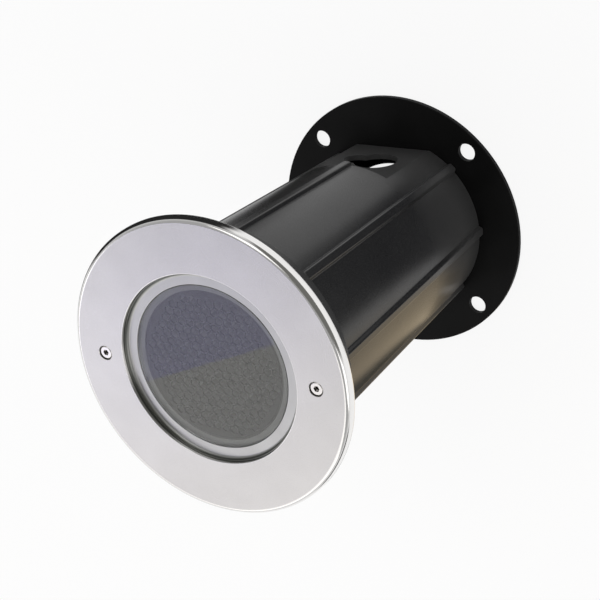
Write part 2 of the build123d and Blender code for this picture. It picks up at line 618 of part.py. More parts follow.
# ---------------------------------------------------------------- housing
def lamp_housing():
    """The die-cast cup: three stepped bores, cooling fins, top flange, driver posts and gland hole."""
    step_level = PLATE_BOTTOM
    lower_outer = HOUSING_LOWER_BORE + HOUSING_WALL
    upper_outer = HOUSING_MID_BORE + HOUSING_WALL
    flange_bottom = HOUSING_TOP - HOUSING_FLANGE_THICKNESS
    cup = lathe(
        (0, HOUSING_BOTTOM),
        (lower_outer, HOUSING_BOTTOM),
        (lower_outer, step_level - HOUSING_WALL),
        (upper_outer, step_level - HOUSING_WALL),
        (upper_outer, flange_bottom),
        (UNIT_RADIUS, flange_bottom),
        (UNIT_RADIUS, HOUSING_TOP),
        (HOUSING_TOP_BORE, HOUSING_TOP),
        (HOUSING_TOP_BORE, LOUVRE_BOTTOM),
        (HOUSING_MID_BORE, LOUVRE_BOTTOM),
        (HOUSING_MID_BORE, step_level),
        (HOUSING_LOWER_BORE, step_level),
        (HOUSING_LOWER_BORE, HOUSING_FLOOR),
        (0, HOUSING_FLOOR),
    )
    cup = round_edges(cup, HOUSING_EDGE_ROUND, HOUSING_BOTTOM, lower_outer)
    fin_bottom = step_level + HOUSING_FIN_INSET
    fin = Box(
        HOUSING_WALL / 2 + HOUSING_FIN_PROUD,
        HOUSING_FIN_WIDTH,
        flange_bottom - fin_bottom,
        align=(Align.MAX, Align.CENTER, Align.MIN),
    )
    fin = Pos(upper_outer + HOUSING_FIN_PROUD, 0, fin_bottom) * fin
    cup = cup + around(fin, HOUSING_FIN_COUNT)
    post = disc(DRIVER_POST_RADIUS, HOUSING_FLOOR, DRIVER_BOTTOM)
    post_hole = disc(DRIVER_SCREW_RADIUS + RUN_GAP, HOUSING_FLOOR, DRIVER_BOTTOM)
    cup = cup + around(Pos(DRIVER_POST_CIRCLE_RADIUS, 0, 0) * post, DRIVER_POST_COUNT)
    for hole in around(Pos(DRIVER_POST_CIRCLE_RADIUS, 0, 0) * post_hole, DRIVER_POST_COUNT):
        cup = cup - hole
    screw_hole = disc(HOUSING_SCREW_RADIUS + HOLE_GAP, flange_bottom, HOUSING_TOP)
    for hole in around(Pos(HOUSING_SCREW_CIRCLE_RADIUS, 0, 0) * screw_hole, HOUSING_SCREW_COUNT):
        cup = cup - hole
    groove = ring(
        HOUSING_MID_BORE + CIRCLIP_GROOVE,
        HOUSING_LOWER_BORE,
        PLATE_TOP,
        PLATE_TOP + CIRCLIP_THICKNESS + FIT_GAP,
    )
    return cup - groove - disc(GLAND_THREAD_RADIUS + FIT_GAP, HOUSING_BOTTOM, HOUSING_FLOOR)


def housing_gasket():
    """The flat gasket between the housing's flange and the bezel."""
    gasket = ring(UNIT_RADIUS - FIT_GAP, HOUSING_TOP_BORE + FIT_GAP, HOUSING_TOP, BEZEL_BOTTOM)
    hole = disc(HOUSING_SCREW_RADIUS + HOLE_GAP, HOUSING_TOP, BEZEL_BOTTOM)
    for cut in around(Pos(HOUSING_SCREW_CIRCLE_RADIUS, 0, 0) * hole, HOUSING_SCREW_COUNT):
        gasket = gasket - cut
    return gasket


def housing_screws():
    """The screws that clamp housing, gasket and bezel to the trim from below."""
    head_top = HOUSING_TOP - HOUSING_FLANGE_THICKNESS
    head_bottom = head_top - HOUSING_SCREW_HEAD_HEIGHT
    shank_top = TRIM_BOTTOM + HOUSING_SCREW_BITE - 2 * FIT_GAP
    screw = disc(HOUSING_SCREW_HEAD_RADIUS, head_bottom, head_top)
    screw = screw + disc(HOUSING_SCREW_RADIUS - RUN_GAP, head_top, shank_top)
    screw = screw - hexagon(HOUSING_SCREW_RADIUS, head_bottom, head_bottom + HOUSING_SCREW_HEAD_HEIGHT / 2)
    return Compound(around(Pos(HOUSING_SCREW_CIRCLE_RADIUS, 0, 0) * screw, HOUSING_SCREW_COUNT))


# ---------------------------------------------------------------- driver
def driver_case():
    """The open tray that holds the driver board, screwed to the posts."""
    tray_floor = DRIVER_BOTTOM + DRIVER_WALL
    case = disc(DRIVER_RADIUS, DRIVER_BOTTOM, DRIVER_TOP)
    case = case - disc(DRIVER_RADIUS - DRIVER_WALL, tray_floor, DRIVER_TOP)
    hole = disc(DRIVER_SCREW_RADIUS + HOLE_GAP, DRIVER_BOTTOM, tray_floor)
    for cut in around(Pos(DRIVER_POST_CIRCLE_RADIUS, 0, 0) * hole, DRIVER_POST_COUNT):
        case = case - cut
    standoff = disc(BOARD_STANDOFF_RADIUS, tray_floor, tray_floor + BOARD_STANDOFF)
    spread = Pos(BOARD_RADIUS / 2, 0, 0) * standoff
    return case + around(spread, DRIVER_POST_COUNT, 180 / DRIVER_POST_COUNT)


def driver_board():
    """The driver's board with its transformer and two capacitors."""
    bottom = DRIVER_BOTTOM + DRIVER_WALL + BOARD_STANDOFF
    top = bottom + BOARD_THICKNESS
    board = disc(BOARD_RADIUS, bottom, top)
    transformer = Box(
        TRANSFORMER_SIZE,
        TRANSFORMER_SIZE,
        TRANSFORMER_HEIGHT,
        align=(Align.CENTER, Align.CENTER, Align.MIN),
    )
    board = board + Pos(-BOARD_RADIUS / 3, 0, top) * transformer
    capacitor = disc(CAPACITOR_RADIUS, top, top + CAPACITOR_HEIGHT)
    for side in (-1, 1):
        board = board + Pos(BOARD_RADIUS / 2, side * (CAPACITOR_RADIUS + 1), 0) * capacitor
    return board


def driver_screws():
    """The screws that hold the driver case to the housing's posts."""
    seat = DRIVER_BOTTOM + DRIVER_WALL
    screw = disc(DRIVER_SCREW_RADIUS, seat - DRIVER_SCREW_LENGTH, seat)
    screw = screw + disc(DRIVER_SCREW_HEAD_RADIUS, seat, seat + DRIVER_SCREW_HEAD_HEIGHT)
    return Compound(around(Pos(DRIVER_POST_CIRCLE_RADIUS, 0, 0) * screw, DRIVER_POST_COUNT))


def driver_lid():
    """The driver's lid, with a hole for the leads and a rim that centres it in the case."""
    lid = disc(DRIVER_RADIUS, DRIVER_TOP, TERMINAL_BOTTOM)
    rim_outer = DRIVER_RADIUS - DRIVER_WALL - FIT_GAP
    lid = lid + ring(rim_outer, rim_outer - DRIVER_WALL, DRIVER_TOP - DRIVER_WALL, DRIVER_TOP)
    return lid - Pos(0, -TERMINAL_OFFSET, 0) * disc(LEAD_HOLE_RADIUS, DRIVER_TOP, TERMINAL_BOTTOM)


def terminal_block():
    """The terminal block on the driver's lid, with a wire hole and a screw well for each pole."""
    block = Box(
        TERMINAL_LENGTH,
        TERMINAL_WIDTH,
        TERMINAL_HEIGHT,
        align=(Align.CENTER, Align.CENTER, Align.MIN),
    )
    middle = TERMINAL_HEIGHT / 2
    wire = Pos(0, 0, middle) * Rot(90, 0, 0) * Cylinder(TERMINAL_HOLE_RADIUS, TERMINAL_WIDTH)
    well = disc(TERMINAL_HOLE_RADIUS, middle, TERMINAL_HEIGHT)
    pitch = TERMINAL_LENGTH / TERMINAL_POLES
    for pole in range(TERMINAL_POLES):
        place = Pos(pitch * (pole - (TERMINAL_POLES - 1) / 2), 0, 0)
        block = block - place * wire - place * well
    return Pos(0, TERMINAL_OFFSET, TERMINAL_BOTTOM) * block


# ---------------------------------------------------------------- turntable and yoke
def turntable_plate():
    """The round plate that rests on the housing's lower step and carries the yoke."""
    plate = ring(PLATE_RADIUS, PIVOT_RADIUS + RUN_GAP, PLATE_BOTTOM, PLATE_TOP)
    lead_hole = Pos(0, -(YOKE_HUB_RADIUS + 2 * LEAD_HOLE_RADIUS), 0) * disc(
        LEAD_HOLE_RADIUS, PLATE_BOTTOM, PLATE_TOP
    )
    return plate - lead_hole


def plate_circlip():
    """The open spring ring that holds the plate down in its groove."""
    outer = HOUSING_MID_BORE + CIRCLIP_GROOVE - FIT_GAP
    clip = ring(outer, outer - CIRCLIP_WIDTH, PLATE_TOP, PLATE_TOP + CIRCLIP_THICKNESS)
    opening = 2 * outer * sin(radians(CIRCLIP_OPENING / 2))
    gap = Box(outer, opening, CIRCLIP_THICKNESS, align=(Align.MIN, Align.CENTER, Align.MIN))
    return clip - Rot(0, 0, -90) * Pos(outer / 2, 0, PLATE_TOP) * gap


def pivot_bolt():
    """The shouldered bolt that the yoke turns on."""
    head_bottom = YOKE_TOP + FIT_GAP
    head_top = head_bottom + PIVOT_HEAD_HEIGHT
    bolt = disc(PIVOT_RADIUS, PLATE_BOTTOM - PIVOT_NUT_HEIGHT, head_bottom)
    bolt = bolt + disc(PIVOT_HEAD_RADIUS, head_bottom, head_top)
    return bolt - hexagon(PIVOT_RADIUS, head_top - PIVOT_HEAD_HEIGHT / 2, head_top)


def pivot_nut():
    """The nut under the plate."""
    bottom = PLATE_BOTTOM - PIVOT_NUT_HEIGHT
    nut = hexagon(PIVOT_NUT_WIDTH, bottom, PLATE_BOTTOM)
    return nut - disc(PIVOT_RADIUS + RUN_GAP, bottom, PLATE_BOTTOM)


def turntable_washer():
    """The slippery washer between plate and yoke."""
    return ring(TURN_WASHER_RADIUS, PIVOT_RADIUS + RUN_GAP, PLATE_TOP, YOKE_BOTTOM)


def tilt_yoke():
    """The U-shaped yoke: a strap with a round hub and two arms that carry the tilt screws."""
    strap = Box(2 * ARM_OUTER, YOKE_WIDTH, YOKE_THICKNESS, align=(Align.CENTER, Align.CENTER, Align.MIN))
    yoke = Pos(0, 0, YOKE_BOTTOM) * strap + disc(YOKE_HUB_RADIUS, YOKE_BOTTOM, YOKE_TOP)
    axis_height = TILT_AXIS - YOKE_BOTTOM
    arm_face = Pos(0, axis_height / 2) * Rectangle(YOKE_WIDTH, axis_height)
    arm_face = arm_face + Pos(0, axis_height) * Circle(YOKE_WIDTH / 2)
    arm_face = arm_face - Pos(0, axis_height) * Circle(TILT_SCREW_RADIUS + RUN_GAP)
    for start in (ARM_INNER, -ARM_OUTER):
        side = Plane(origin=(start, 0, YOKE_BOTTOM), x_dir=(0, 1, 0), z_dir=(1, 0, 0))
        yoke = yoke + extrude(side * arm_face, YOKE_THICKNESS)
    return yoke - disc(PIVOT_RADIUS + RUN_GAP, YOKE_BOTTOM, YOKE_TOP)


# ---------------------------------------------------------------- lamp head
def along_tilt_axis(radius, start, end):
    """A round bar on the tilt axis from one distance to another, on the right-hand side."""
    bar = Cylinder(radius, end - start, align=(Align.CENTER, Align.CENTER, Align.MIN))
    return Pos(start, 0, TILT_AXIS) * Rot(0, 90, 0) * bar


def both_sides(shape):
    """A shape and its copy on the other side of the lamp."""
    return around(shape, 2)


def lamp_barrel():
    """The tube that holds the optics, with a boss on each side for the tilt screws."""
    tube = disc(BARREL_RADIUS, BARREL_BOTTOM, BARREL_TOP)
    boss = along_tilt_axis(BARREL_BOSS_RADIUS, BARREL_BORE, BOSS_FACE)
    tube = tube + both_sides(boss) - disc(BARREL_BORE, BARREL_BOTTOM, BARREL_TOP)
    hole = along_tilt_axis(TILT_SCREW_RADIUS + FIT_GAP, BARREL_BORE / 2, BOSS_FACE)
    for cut in both_sides(hole):
        tube = tube - cut
    return tube


def heat_sink():
    """The lamp's heat sink: a spigot in the barrel, a flange under it and straight fins below."""
    flange_bottom = BARREL_BOTTOM - SINK_FLANGE_THICKNESS
    sink = disc(BARREL_BORE - FIT_GAP, BARREL_BOTTOM, SINK_TOP)
    sink = sink + disc(BARREL_RADIUS, flange_bottom, BARREL_BOTTOM)
    fin = Box(
        2 * SINK_FIN_RADIUS,
        SINK_FIN_THICKNESS,
        SINK_FIN_HEIGHT,
        align=(Align.CENTER, Align.CENTER, Align.MAX),
    )
    pitch = 2 * (SINK_FIN_RADIUS - SINK_FIN_THICKNESS) / (SINK_FIN_COUNT - 1)
    bound = disc(SINK_FIN_RADIUS, FIN_BOTTOM, flange_bottom)
    for index in range(SINK_FIN_COUNT):
        place = Pos(0, pitch * (index - (SINK_FIN_COUNT - 1) / 2), flange_bottom)
        sink = sink + ((place * fin) & bound)
    return sink


def led_board():
    """The metal-core board under the emitter."""
    return disc(LED_BOARD_RADIUS, SINK_TOP, LED_TOP)


def led_emitter():
    """The round emitter."""
    return disc(EMITTER_RADIUS, LED_TOP, LED_TOP + EMITTER_THICKNESS)


def reflector():
    """The bowl-shaped reflector, from its throat on the board to its lip under the cover."""
    outer_throat = REFLECTOR_THROAT_RADIUS + REFLECTOR_WALL
    lip_bottom = COVER_BOTTOM - REFLECTOR_WALL
    bowl_rim = REFLECTOR_RADIUS - REFLECTOR_WALL
    middle_radius = (REFLECTOR_THROAT_RADIUS + bowl_rim) / 2 + REFLECTOR_BULGE
    middle_height = (LED_TOP + COVER_BOTTOM) / 2 - REFLECTOR_BULGE
    inner_curve = ThreePointArc(
        (REFLECTOR_THROAT_RADIUS, 0, LED_TOP),
        (middle_radius - REFLECTOR_WALL, 0, middle_height),
        (bowl_rim - REFLECTOR_WALL, 0, COVER_BOTTOM),
    )
    outer_curve = ThreePointArc(
        (outer_throat, 0, LED_TOP),
        (middle_radius, 0, middle_height),
        (bowl_rim, 0, lip_bottom),
    )
    foot = Line((REFLECTOR_THROAT_RADIUS, 0, LED_TOP), (outer_throat, 0, LED_TOP))
    lip = Polyline(
        (bowl_rim, 0, lip_bottom),
        (REFLECTOR_RADIUS, 0, lip_bottom),
        (REFLECTOR_RADIUS, 0, COVER_BOTTOM),
        (bowl_rim - REFLECTOR_WALL, 0, COVER_BOTTOM),
    )
    return revolve(make_face(inner_curve + outer_curve + foot + lip), Axis.Z, 360)


def beam_cover():
    """The clear cover on the reflector."""
    return disc(REFLECTOR_RADIUS, COVER_BOTTOM, RETAINER_BOTTOM)


def retaining_ring():
    """The ring that holds cover and reflector in the barrel."""
    return ring(REFLECTOR_RADIUS, REFLECTOR_RADIUS - RETAINER_WIDTH, RETAINER_BOTTOM, BARREL_TOP)


def tilt_screws():
    """The two screws that the lamp tilts on."""
    head_start = ARM_OUTER + FIT_GAP
    screw = along_tilt_axis(TILT_SCREW_RADIUS, BARREL_BORE, head_start)
    screw = screw + along_tilt_axis(TILT_HEAD_RADIUS, head_start, head_start + TILT_HEAD_HEIGHT)
    return Compound(both_sides(screw))


def friction_washers():
    """The washers between the barrel's bosses and the yoke's arms."""
    washer = along_tilt_axis(TILT_WASHER_RADIUS, BOSS_FACE, ARM_INNER)
    washer = washer - along_tilt_axis(TILT_SCREW_RADIUS + RUN_GAP, BOSS_FACE, ARM_INNER)
    return Compound(both_sides(washer))


# ---------------------------------------------------------------- gland
def cable_gland():
    """The gland's body: threaded through the housing's floor, hexagon below it, neck for the nut."""
    body = disc(GLAND_THREAD_RADIUS, GLAND_NECK_BOTTOM, LOCKNUT_TOP + FIT_GAP)
    body = body + hexagon(GLAND_HEX_WIDTH, GLAND_HEX_BOTTOM, GLAND_HEX_TOP)
    body = body - disc(GLAND_BORE_RADIUS, GLAND_NECK_BOTTOM, LOCKNUT_TOP + FIT_GAP)
    return body - disc(GLAND_SEAL_RADIUS + FIT_GAP, GLAND_NECK_BOTTOM, GLAND_HEX_BOTTOM)


def gland_washer():
    """The sealing washer between gland and housing."""
    return ring(GLAND_WASHER_RADIUS, GLAND_THREAD_RADIUS + FIT_GAP, GLAND_HEX_TOP, HOUSING_BOTTOM)


def gland_locknut():
    """The locknut inside the housing."""
    nut = hexagon(GLAND_HEX_WIDTH, HOUSING_FLOOR, LOCKNUT_TOP)
    return nut - disc(GLAND_THREAD_RADIUS + RUN_GAP, HOUSING_FLOOR, LOCKNUT_TOP)


def gland_nut():
    """The domed nut that squeezes the seal, with grip flats."""
    nut = disc(GLAND_NUT_RADIUS, GLAND_NUT_BOTTOM, GLAND_NUT_TOP)
    nut = nut & hexagon(GLAND_HEX_WIDTH, GLAND_NUT_BOTTOM, GLAND_NUT_TOP)
    rim = nut.faces().sort_by(Axis.Z)[0].outer_wire().edges()
    nut = fillet(rim, GLAND_NUT_FLOOR / 2)
    nut = nut - disc(GLAND_THREAD_RADIUS + RUN_GAP, GLAND_SEAL_BOTTOM, GLAND_NUT_TOP)
    return nut - disc(GLAND_BORE_RADIUS, GLAND_NUT_BOTTOM, GLAND_SEAL_BOTTOM)


def gland_seal():
    """The rubber seal that grips the cable."""
    return ring(GLAND_SEAL_RADIUS, CABLE_RADIUS, GLAND_SEAL_BOTTOM, GLAND_SEAL_BOTTOM + GLAND_SEAL_LENGTH)


# ---------------------------------------------------------------- face screws
def face_screw(angle):
    """One captive hex-socket screw through the trim into its insert."""
    head_top = SCREW_SEAT + SCREW_HEAD_HEIGHT
    head = disc(SCREW_HEAD_RADIUS, SCREW_SEAT, head_top)
    head = round_edges(head, SCREW_HEAD_HEIGHT / 4, head_top, SCREW_HEAD_RADIUS)
    screw = head + disc(SCREW_RADIUS, SCREW_TIP, SCREW_SEAT)
    screw = screw - hexagon(SCREW_SOCKET_WIDTH, head_top - SCREW_SOCKET_DEPTH, head_top)
    return Rot(0, 0, angle) * Pos(SCREW_CIRCLE_RADIUS, 0, 0) * screw


# ---------------------------------------------------------------- write the parts
NODES = {
    "mounting_sleeve": mounting_sleeve,
    "base_flange": base_flange,
    "flange_screws": flange_screws,
    "threaded_inserts": threaded_inserts,
    "trim_gasket": trim_gasket,
    "trim_ring": trim_ring,
    "bezel_ring": bezel_ring,
    "lens_seal": lens_seal,
    "lens_glass": lens_glass,
    "louvre_frame": louvre_frame,
    "honeycomb_louvre": honeycomb_louvre,
    "lamp_housing": lamp_housing,
    "housing_gasket": housing_gasket,
    "housing_screws": housing_screws,
    "driver_case": driver_case,
    "driver_board": driver_board,
    "driver_screws": driver_screws,
    "driver_lid": driver_lid,
    "terminal_block": terminal_block,
    "turntable_plate": turntable_plate,
    "plate_circlip": plate_circlip,
    "pivot_bolt": pivot_bolt,
    "pivot_nut": pivot_nut,
    "turntable_washer": turntable_washer,
    "tilt_yoke": tilt_yoke,
    "lamp_barrel": lamp_barrel,
    "heat_sink": heat_sink,
    "led_board": led_board,
    "led_emitter": led_emitter,
    "reflector": reflector,
    "beam_cover": beam_cover,
    "retaining_ring": retaining_ring,
    "tilt_screws": tilt_screws,
    "friction_washers": friction_washers,
    "cable_gland": cable_gland,
    "gland_washer": gland_washer,
    "gland_locknut": gland_locknut,
    "gland_nut": gland_nut,
    "gland_seal": gland_seal,
}
for node_name, make in NODES.items():
    save(make(), node_name)
save(face_screw(SCREW_ANGLE), "face_screw_right")
save(face_screw(SCREW_ANGLE + 180), "face_screw_left")
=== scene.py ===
# %% [markdown]
# # An in-ground well light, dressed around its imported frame
# The real light is a black sleeve that stays in the ground, with a lamp unit that lowers into it
# and ends in a brushed stainless trim ring round a clear window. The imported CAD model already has
# every piece at its real size, so this script gives the pieces their finishes, turns the three
# front pieces again with finer roundings, and sets up a studio like the photograph's.

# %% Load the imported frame
import math

import bmesh
import bpy
from mathutils import Matrix, Vector


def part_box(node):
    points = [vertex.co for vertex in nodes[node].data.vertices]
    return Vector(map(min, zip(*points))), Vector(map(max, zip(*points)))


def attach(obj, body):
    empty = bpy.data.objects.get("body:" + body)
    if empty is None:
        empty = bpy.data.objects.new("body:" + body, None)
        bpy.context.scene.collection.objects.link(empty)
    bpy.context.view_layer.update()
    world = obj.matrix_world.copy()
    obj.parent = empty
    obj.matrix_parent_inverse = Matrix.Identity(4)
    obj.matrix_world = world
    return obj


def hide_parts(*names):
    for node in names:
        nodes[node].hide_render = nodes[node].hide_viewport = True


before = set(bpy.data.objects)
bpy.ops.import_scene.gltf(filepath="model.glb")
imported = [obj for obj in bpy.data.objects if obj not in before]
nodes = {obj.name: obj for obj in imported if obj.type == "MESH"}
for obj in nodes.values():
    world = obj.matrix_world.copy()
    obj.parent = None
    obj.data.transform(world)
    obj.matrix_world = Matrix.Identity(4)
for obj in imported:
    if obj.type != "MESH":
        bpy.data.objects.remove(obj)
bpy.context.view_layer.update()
MM = 0.001

# %% [markdown]
# ## The camera
# The photograph was taken with a long lens from well above the trim, and the picture was then turned
# so that the sleeve points to the upper right. The ellipses of the trim and its window, the screws,
# the ribs and the flange's holes give where that camera stood, so it is set by its place, its
# right-hand direction and its upward one.

# %% Place the camera
CAMERA_PLACE = Vector((73.3, 638.0, 882.9)) * MM
CAMERA_RIGHT = Vector((0.6774, 0.5314, -0.5086))
CAMERA_UP = Vector((-0.7319, 0.5554, -0.3945))
LENS_MM = 110.2
SENSOR_MM = 36.0

camera_back = CAMERA_RIGHT.cross(CAMERA_UP).normalized()
camera_up = camera_back.cross(CAMERA_RIGHT).normalized()
camera = bpy.data.objects.new("camera", bpy.data.cameras.new("camera"))
camera.data.lens = LENS_MM
camera.data.sensor_width = SENSOR_MM
turn = Matrix((CAMERA_RIGHT.normalized(), camera_up, camera_back)).transposed()
camera.matrix_world = Matrix.Translation(CAMERA_PLACE) @ turn.to_4x4()
bpy.context.scene.collection.objects.link(camera)
bpy.context.scene.camera = camera
bpy.context.scene.view_settings.view_transform = "Standard"
print(f"camera {CAMERA_PLACE.length:.3f} m away, looking along {[round(v, 3) for v in -camera_back]}")

# %% [markdown]
# ## Small helpers for node trees
# Every finish below is a few noise patterns that feed one Principled shader. Two short helpers keep
# those trees readable: one makes a node with its settings, the other starts a material.

# %% Helpers for materials
def add_node(tree, kind, inputs=None, **settings):
    """A new node of that kind, with its attributes and its unlinked inputs set."""
    made = tree.nodes.new(kind)
    for name, value in settings.items():
        setattr(made, name, value)
    for name, value in (inputs or {}).items():
        made.inputs[name].default_value = value
    return made


def start_material(name, **inputs):
    """A material with one Principled shader; names like Base_Color are the shader's own sockets."""
    material = bpy.data.materials.new(name)
    material.use_nodes = True
    shader = material.node_tree.nodes["Principled BSDF"]
    for socket, value in inputs.items():
        shader.inputs[socket.replace("_", " ")].default_value = value
    return material, material.node_tree, shader


def grey(value):
    """A neutral colour."""
    return (value, value, value, 1.0)


# %% [markdown]
# Most patterns here follow the light's own upright axis, so three more helpers measure a point from
# it: how high it is, at what angle it lies and how far out.

# %% Helpers for places
def object_place(tree):
    """The point on the object, in metres."""
    return add_node(tree, "ShaderNodeTexCoord").outputs["Object"]


def height_of(tree, place):
    """The point's height."""
    split = add_node(tree, "ShaderNodeSeparateXYZ")
    tree.links.new(place, split.inputs[0])
    return split.outputs["Z"]


def angle_of(tree, place):
    """The point's angle round the upright axis, in radians."""
    split = add_node(tree, "ShaderNodeSeparateXYZ")
    angle = add_node(tree, "ShaderNodeMath", operation="ARCTAN2")
    tree.links.new(place, split.inputs[0])
    tree.links.new(split.outputs["Y"], angle.inputs[0])
    tree.links.new(split.outputs["X"], angle.inputs[1])
    return angle.outputs[0]


def radius_of(tree, place):
    """The point's distance from the upright axis."""
    flat = add_node(tree, "ShaderNodeVectorMath", {1: (1.0, 1.0, 0.0)}, operation="MULTIPLY")
    radius = add_node(tree, "ShaderNodeVectorMath", operation="LENGTH")
    tree.links.new(place, flat.inputs[0])
    tree.links.new(flat.outputs[0], radius.inputs[0])
    return radius.outputs["Value"]


# %% [markdown]
# ## The floor and the studio
# The photograph has a pure white ground. A large pale floor stands in for it: the camera, and metal
# and glass, see mostly plain white, while the rest of its look is an ordinary matt surface, which is
# what keeps the soft shadow under the light.

# %% Make the floor
FLOOR_HALF_WIDTH = 30.0
FLOOR_DROP = 0.2 * MM  # keeps the floor out of the flange's underside
FLOOR_WHITE = 0.86
FLOOR_PALE = 0.92

floor_mesh = bmesh.new()
bmesh.ops.create_grid(floor_mesh, x_segments=1, y_segments=1, size=FLOOR_HALF_WIDTH)
floor = bpy.data.objects.new("floor", bpy.data.meshes.new("floor"))
floor_mesh.to_mesh(floor.data)
floor_mesh.free()
floor.location.z = -FLOOR_DROP
bpy.context.scene.collection.objects.link(floor)

floor_paint, tree, shader = start_material("floor_paint", Base_Color=grey(FLOOR_PALE), Roughness=0.9)
path = add_node(tree, "ShaderNodeLightPath")
seen = add_node(tree, "ShaderNodeMath", operation="MAXIMUM")
seen_or_passed = add_node(tree, "ShaderNodeMath", operation="MAXIMUM")
share = add_node(tree, "ShaderNodeMath", {1: FLOOR_WHITE}, operation="MULTIPLY")
white = add_node(tree, "ShaderNodeEmission", {"Color": grey(1.0), "Strength": 1.0})
either = add_node(tree, "ShaderNodeMixShader")
tree.links.new(path.outputs["Is Camera Ray"], seen.inputs[0])
tree.links.new(path.outputs["Is Glossy Ray"], seen.inputs[1])
tree.links.new(seen.outputs[0], seen_or_passed.inputs[0])
tree.links.new(path.outputs["Is Transmission Ray"], seen_or_passed.inputs[1])
tree.links.new(seen_or_passed.outputs[0], share.inputs[0])
tree.links.new(share.outputs[0], either.inputs[0])
tree.links.new(shader.outputs[0], either.inputs[1])
tree.links.new(white.outputs[0], either.inputs[2])
tree.links.new(either.outputs[0], tree.nodes["Material Output"].inputs["Surface"])
floor.data.materials.append(floor_paint)
print(f"floor {2 * FLOOR_HALF_WIDTH:.0f} m wide")

# %% [markdown]
# The room is a plain pale dome, brighter near the horizon as a studio's sweep is, and dimmer
# overhead, where the soft boxes hang. Steel shows what is around it, so the dome's gentle fade is
# what gives the rounded rim its shades.

# %% Make the room
HORIZON_LEVEL = 0.90
ZENITH_LEVEL = 0.38
FADE_END = 0.8  # height on the unit dome where the fade ends

world = bpy.data.worlds.new("studio")
world.use_nodes = True
bpy.context.scene.world = world
tree = world.node_tree
background = tree.nodes["Background"]
direction = add_node(tree, "ShaderNodeTexCoord").outputs["Generated"]
fade = add_node(tree, "ShaderNodeMapRange", {"From Min": 0.0, "From Max": FADE_END,
                                             "To Min": HORIZON_LEVEL, "To Max": ZENITH_LEVEL},
                interpolation_type="SMOOTHSTEP")
tree.links.new(height_of(tree, direction), fade.inputs["Value"])
tree.links.new(fade.outputs["Result"], background.inputs["Strength"])
background.inputs["Color"].default_value = grey(1.0)
print(f"room at {HORIZON_LEVEL:.2f} near the horizon and {ZENITH_LEVEL:.2f} overhead")

# %% [markdown]
# ## The lamps
# Steel and glass show their lamps, so the lamps are placed by what the photograph reflects. The
# glass shows two fields that meet in a slanting line: a lavender one to the upper left and a neutral
# one to the lower right. Panels overhead, edge to edge along that line, make both fields and the
# lavender tone on one side of the trim. The lavender panel is narrow, so the trim darkens towards
# the top, and a bright one beyond it lifts the lower left, as in the photograph.
#
# A panel is described by its place, its size and how bright its face is, because brightness is what
# a reflection shows. A lamp's power is worked out from that and its area.

# %% Hang the lamps
LAMP_TARGET = Vector((0.0, 0.0, 120.0)) * MM
CEILING_HEIGHT = 1.5
SEAM_PLACE = Vector((-0.144, -1.214, CEILING_HEIGHT))
SEAM_ANGLE = math.radians(67.3)
seam = Vector((math.cos(SEAM_ANGLE), math.sin(SEAM_ANGLE), 0.0))
across_seam = Vector((-seam.y, seam.x, 0.0))


def hang_lamp(name, place, turn, width, height, brightness, colour):
    """A rectangular lamp that shines along its own -Z."""
    lamp = bpy.data.lights.new(name, "AREA")
    lamp.shape = "RECTANGLE"
    lamp.size = width
    lamp.size_y = height
    lamp.energy = brightness * width * height * math.pi
    lamp.color = colour
    panel = bpy.data.objects.new(name, lamp)
    panel.location = place
    panel.rotation_euler = turn
    panel.visible_camera = False
    bpy.context.scene.collection.objects.link(panel)
    print(f"{name}: {width:.1f} x {height:.1f} m, {lamp.energy:.1f} W")


CEILING_PANELS = (
    # name, start and end along the seam, start and end across it in m, brightness, colour
    ("lavender_panel", -0.22, 0.32, 0.0, 0.25, 0.98, (0.67, 0.65, 1.0)),
    ("bright_panel", -1.00, -0.22, 0.0, 0.60, 1.50, (0.98, 0.97, 1.0)),
    ("neutral_panel", -1.20, 0.90, -1.7, 0.0, 0.85, (1.0, 0.975, 0.95)),
)
for name, start, end, near, far, brightness, colour in CEILING_PANELS:
    middle = SEAM_PLACE + seam * ((start + end) / 2) + across_seam * ((near + far) / 2)
    hang_lamp(name, middle, (0.0, 0.0, SEAM_ANGLE), end - start, far - near, brightness, colour)

SIDE_PANELS = (
    # name, azimuth and elevation in degrees, distance, width, height, brightness, colour
    ("left_panel", 150.0, 62.0, 1.8, 0.9, 0.9, 1.0, (1.0, 0.99, 0.98)),
    ("right_panel", 20.0, 40.0, 1.9, 0.9, 1.0, 1.0, (1.0, 0.98, 0.96)),
)
for name, azimuth, elevation, distance, width, height, brightness, colour in SIDE_PANELS:
    around, above = math.radians(azimuth), math.radians(elevation)
    direction = Vector((math.cos(around) * math.cos(above), math.sin(around) * math.cos(above),
                        math.sin(above)))
    turn = direction.to_track_quat("Z", "Y").to_euler()
    hang_lamp(name, LAMP_TARGET + direction * distance, turn, width, height, brightness, colour)

# %% [markdown]
# The panels are there to be reflected, and alone they would leave matt pieces too dark. One more
# large panel straight above lights those and is kept out of reflections.

# %% Hang the fill
FILL_PLACE = Vector((0.0, 0.0, 2.1))
FILL_WIDTH = 2.0
FILL_LEVEL = 1.0
FILL_COLOUR = (1.0, 0.99, 0.98)

hang_lamp("fill_panel", FILL_PLACE, (0.0, 0.0, 0.0), FILL_WIDTH, FILL_WIDTH, FILL_LEVEL, FILL_COLOUR)
bpy.data.objects["fill_panel"].visible_glossy = False

# %% [markdown]
# ## Cards and flags
# From this high up, every upright face of the black sleeve and the trim's polished wall reflect the
# floor close to the light, and on a plain white floor they would all look alike. A photographer lays
# black and tinted cards there, just out of the picture, and stands black flags further out, to draw
# the edges of dark and shiny things. The flags behind and over the camera help to darken the bezel's
# hollow, the one at the left gives the black band on the rim, and the dark card at the back keeps
# the sleeve's far facet dark up to its bright outline. Each is a straight line spun through a
# sector and is seen in reflections alone, so floor and lighting stay plain.

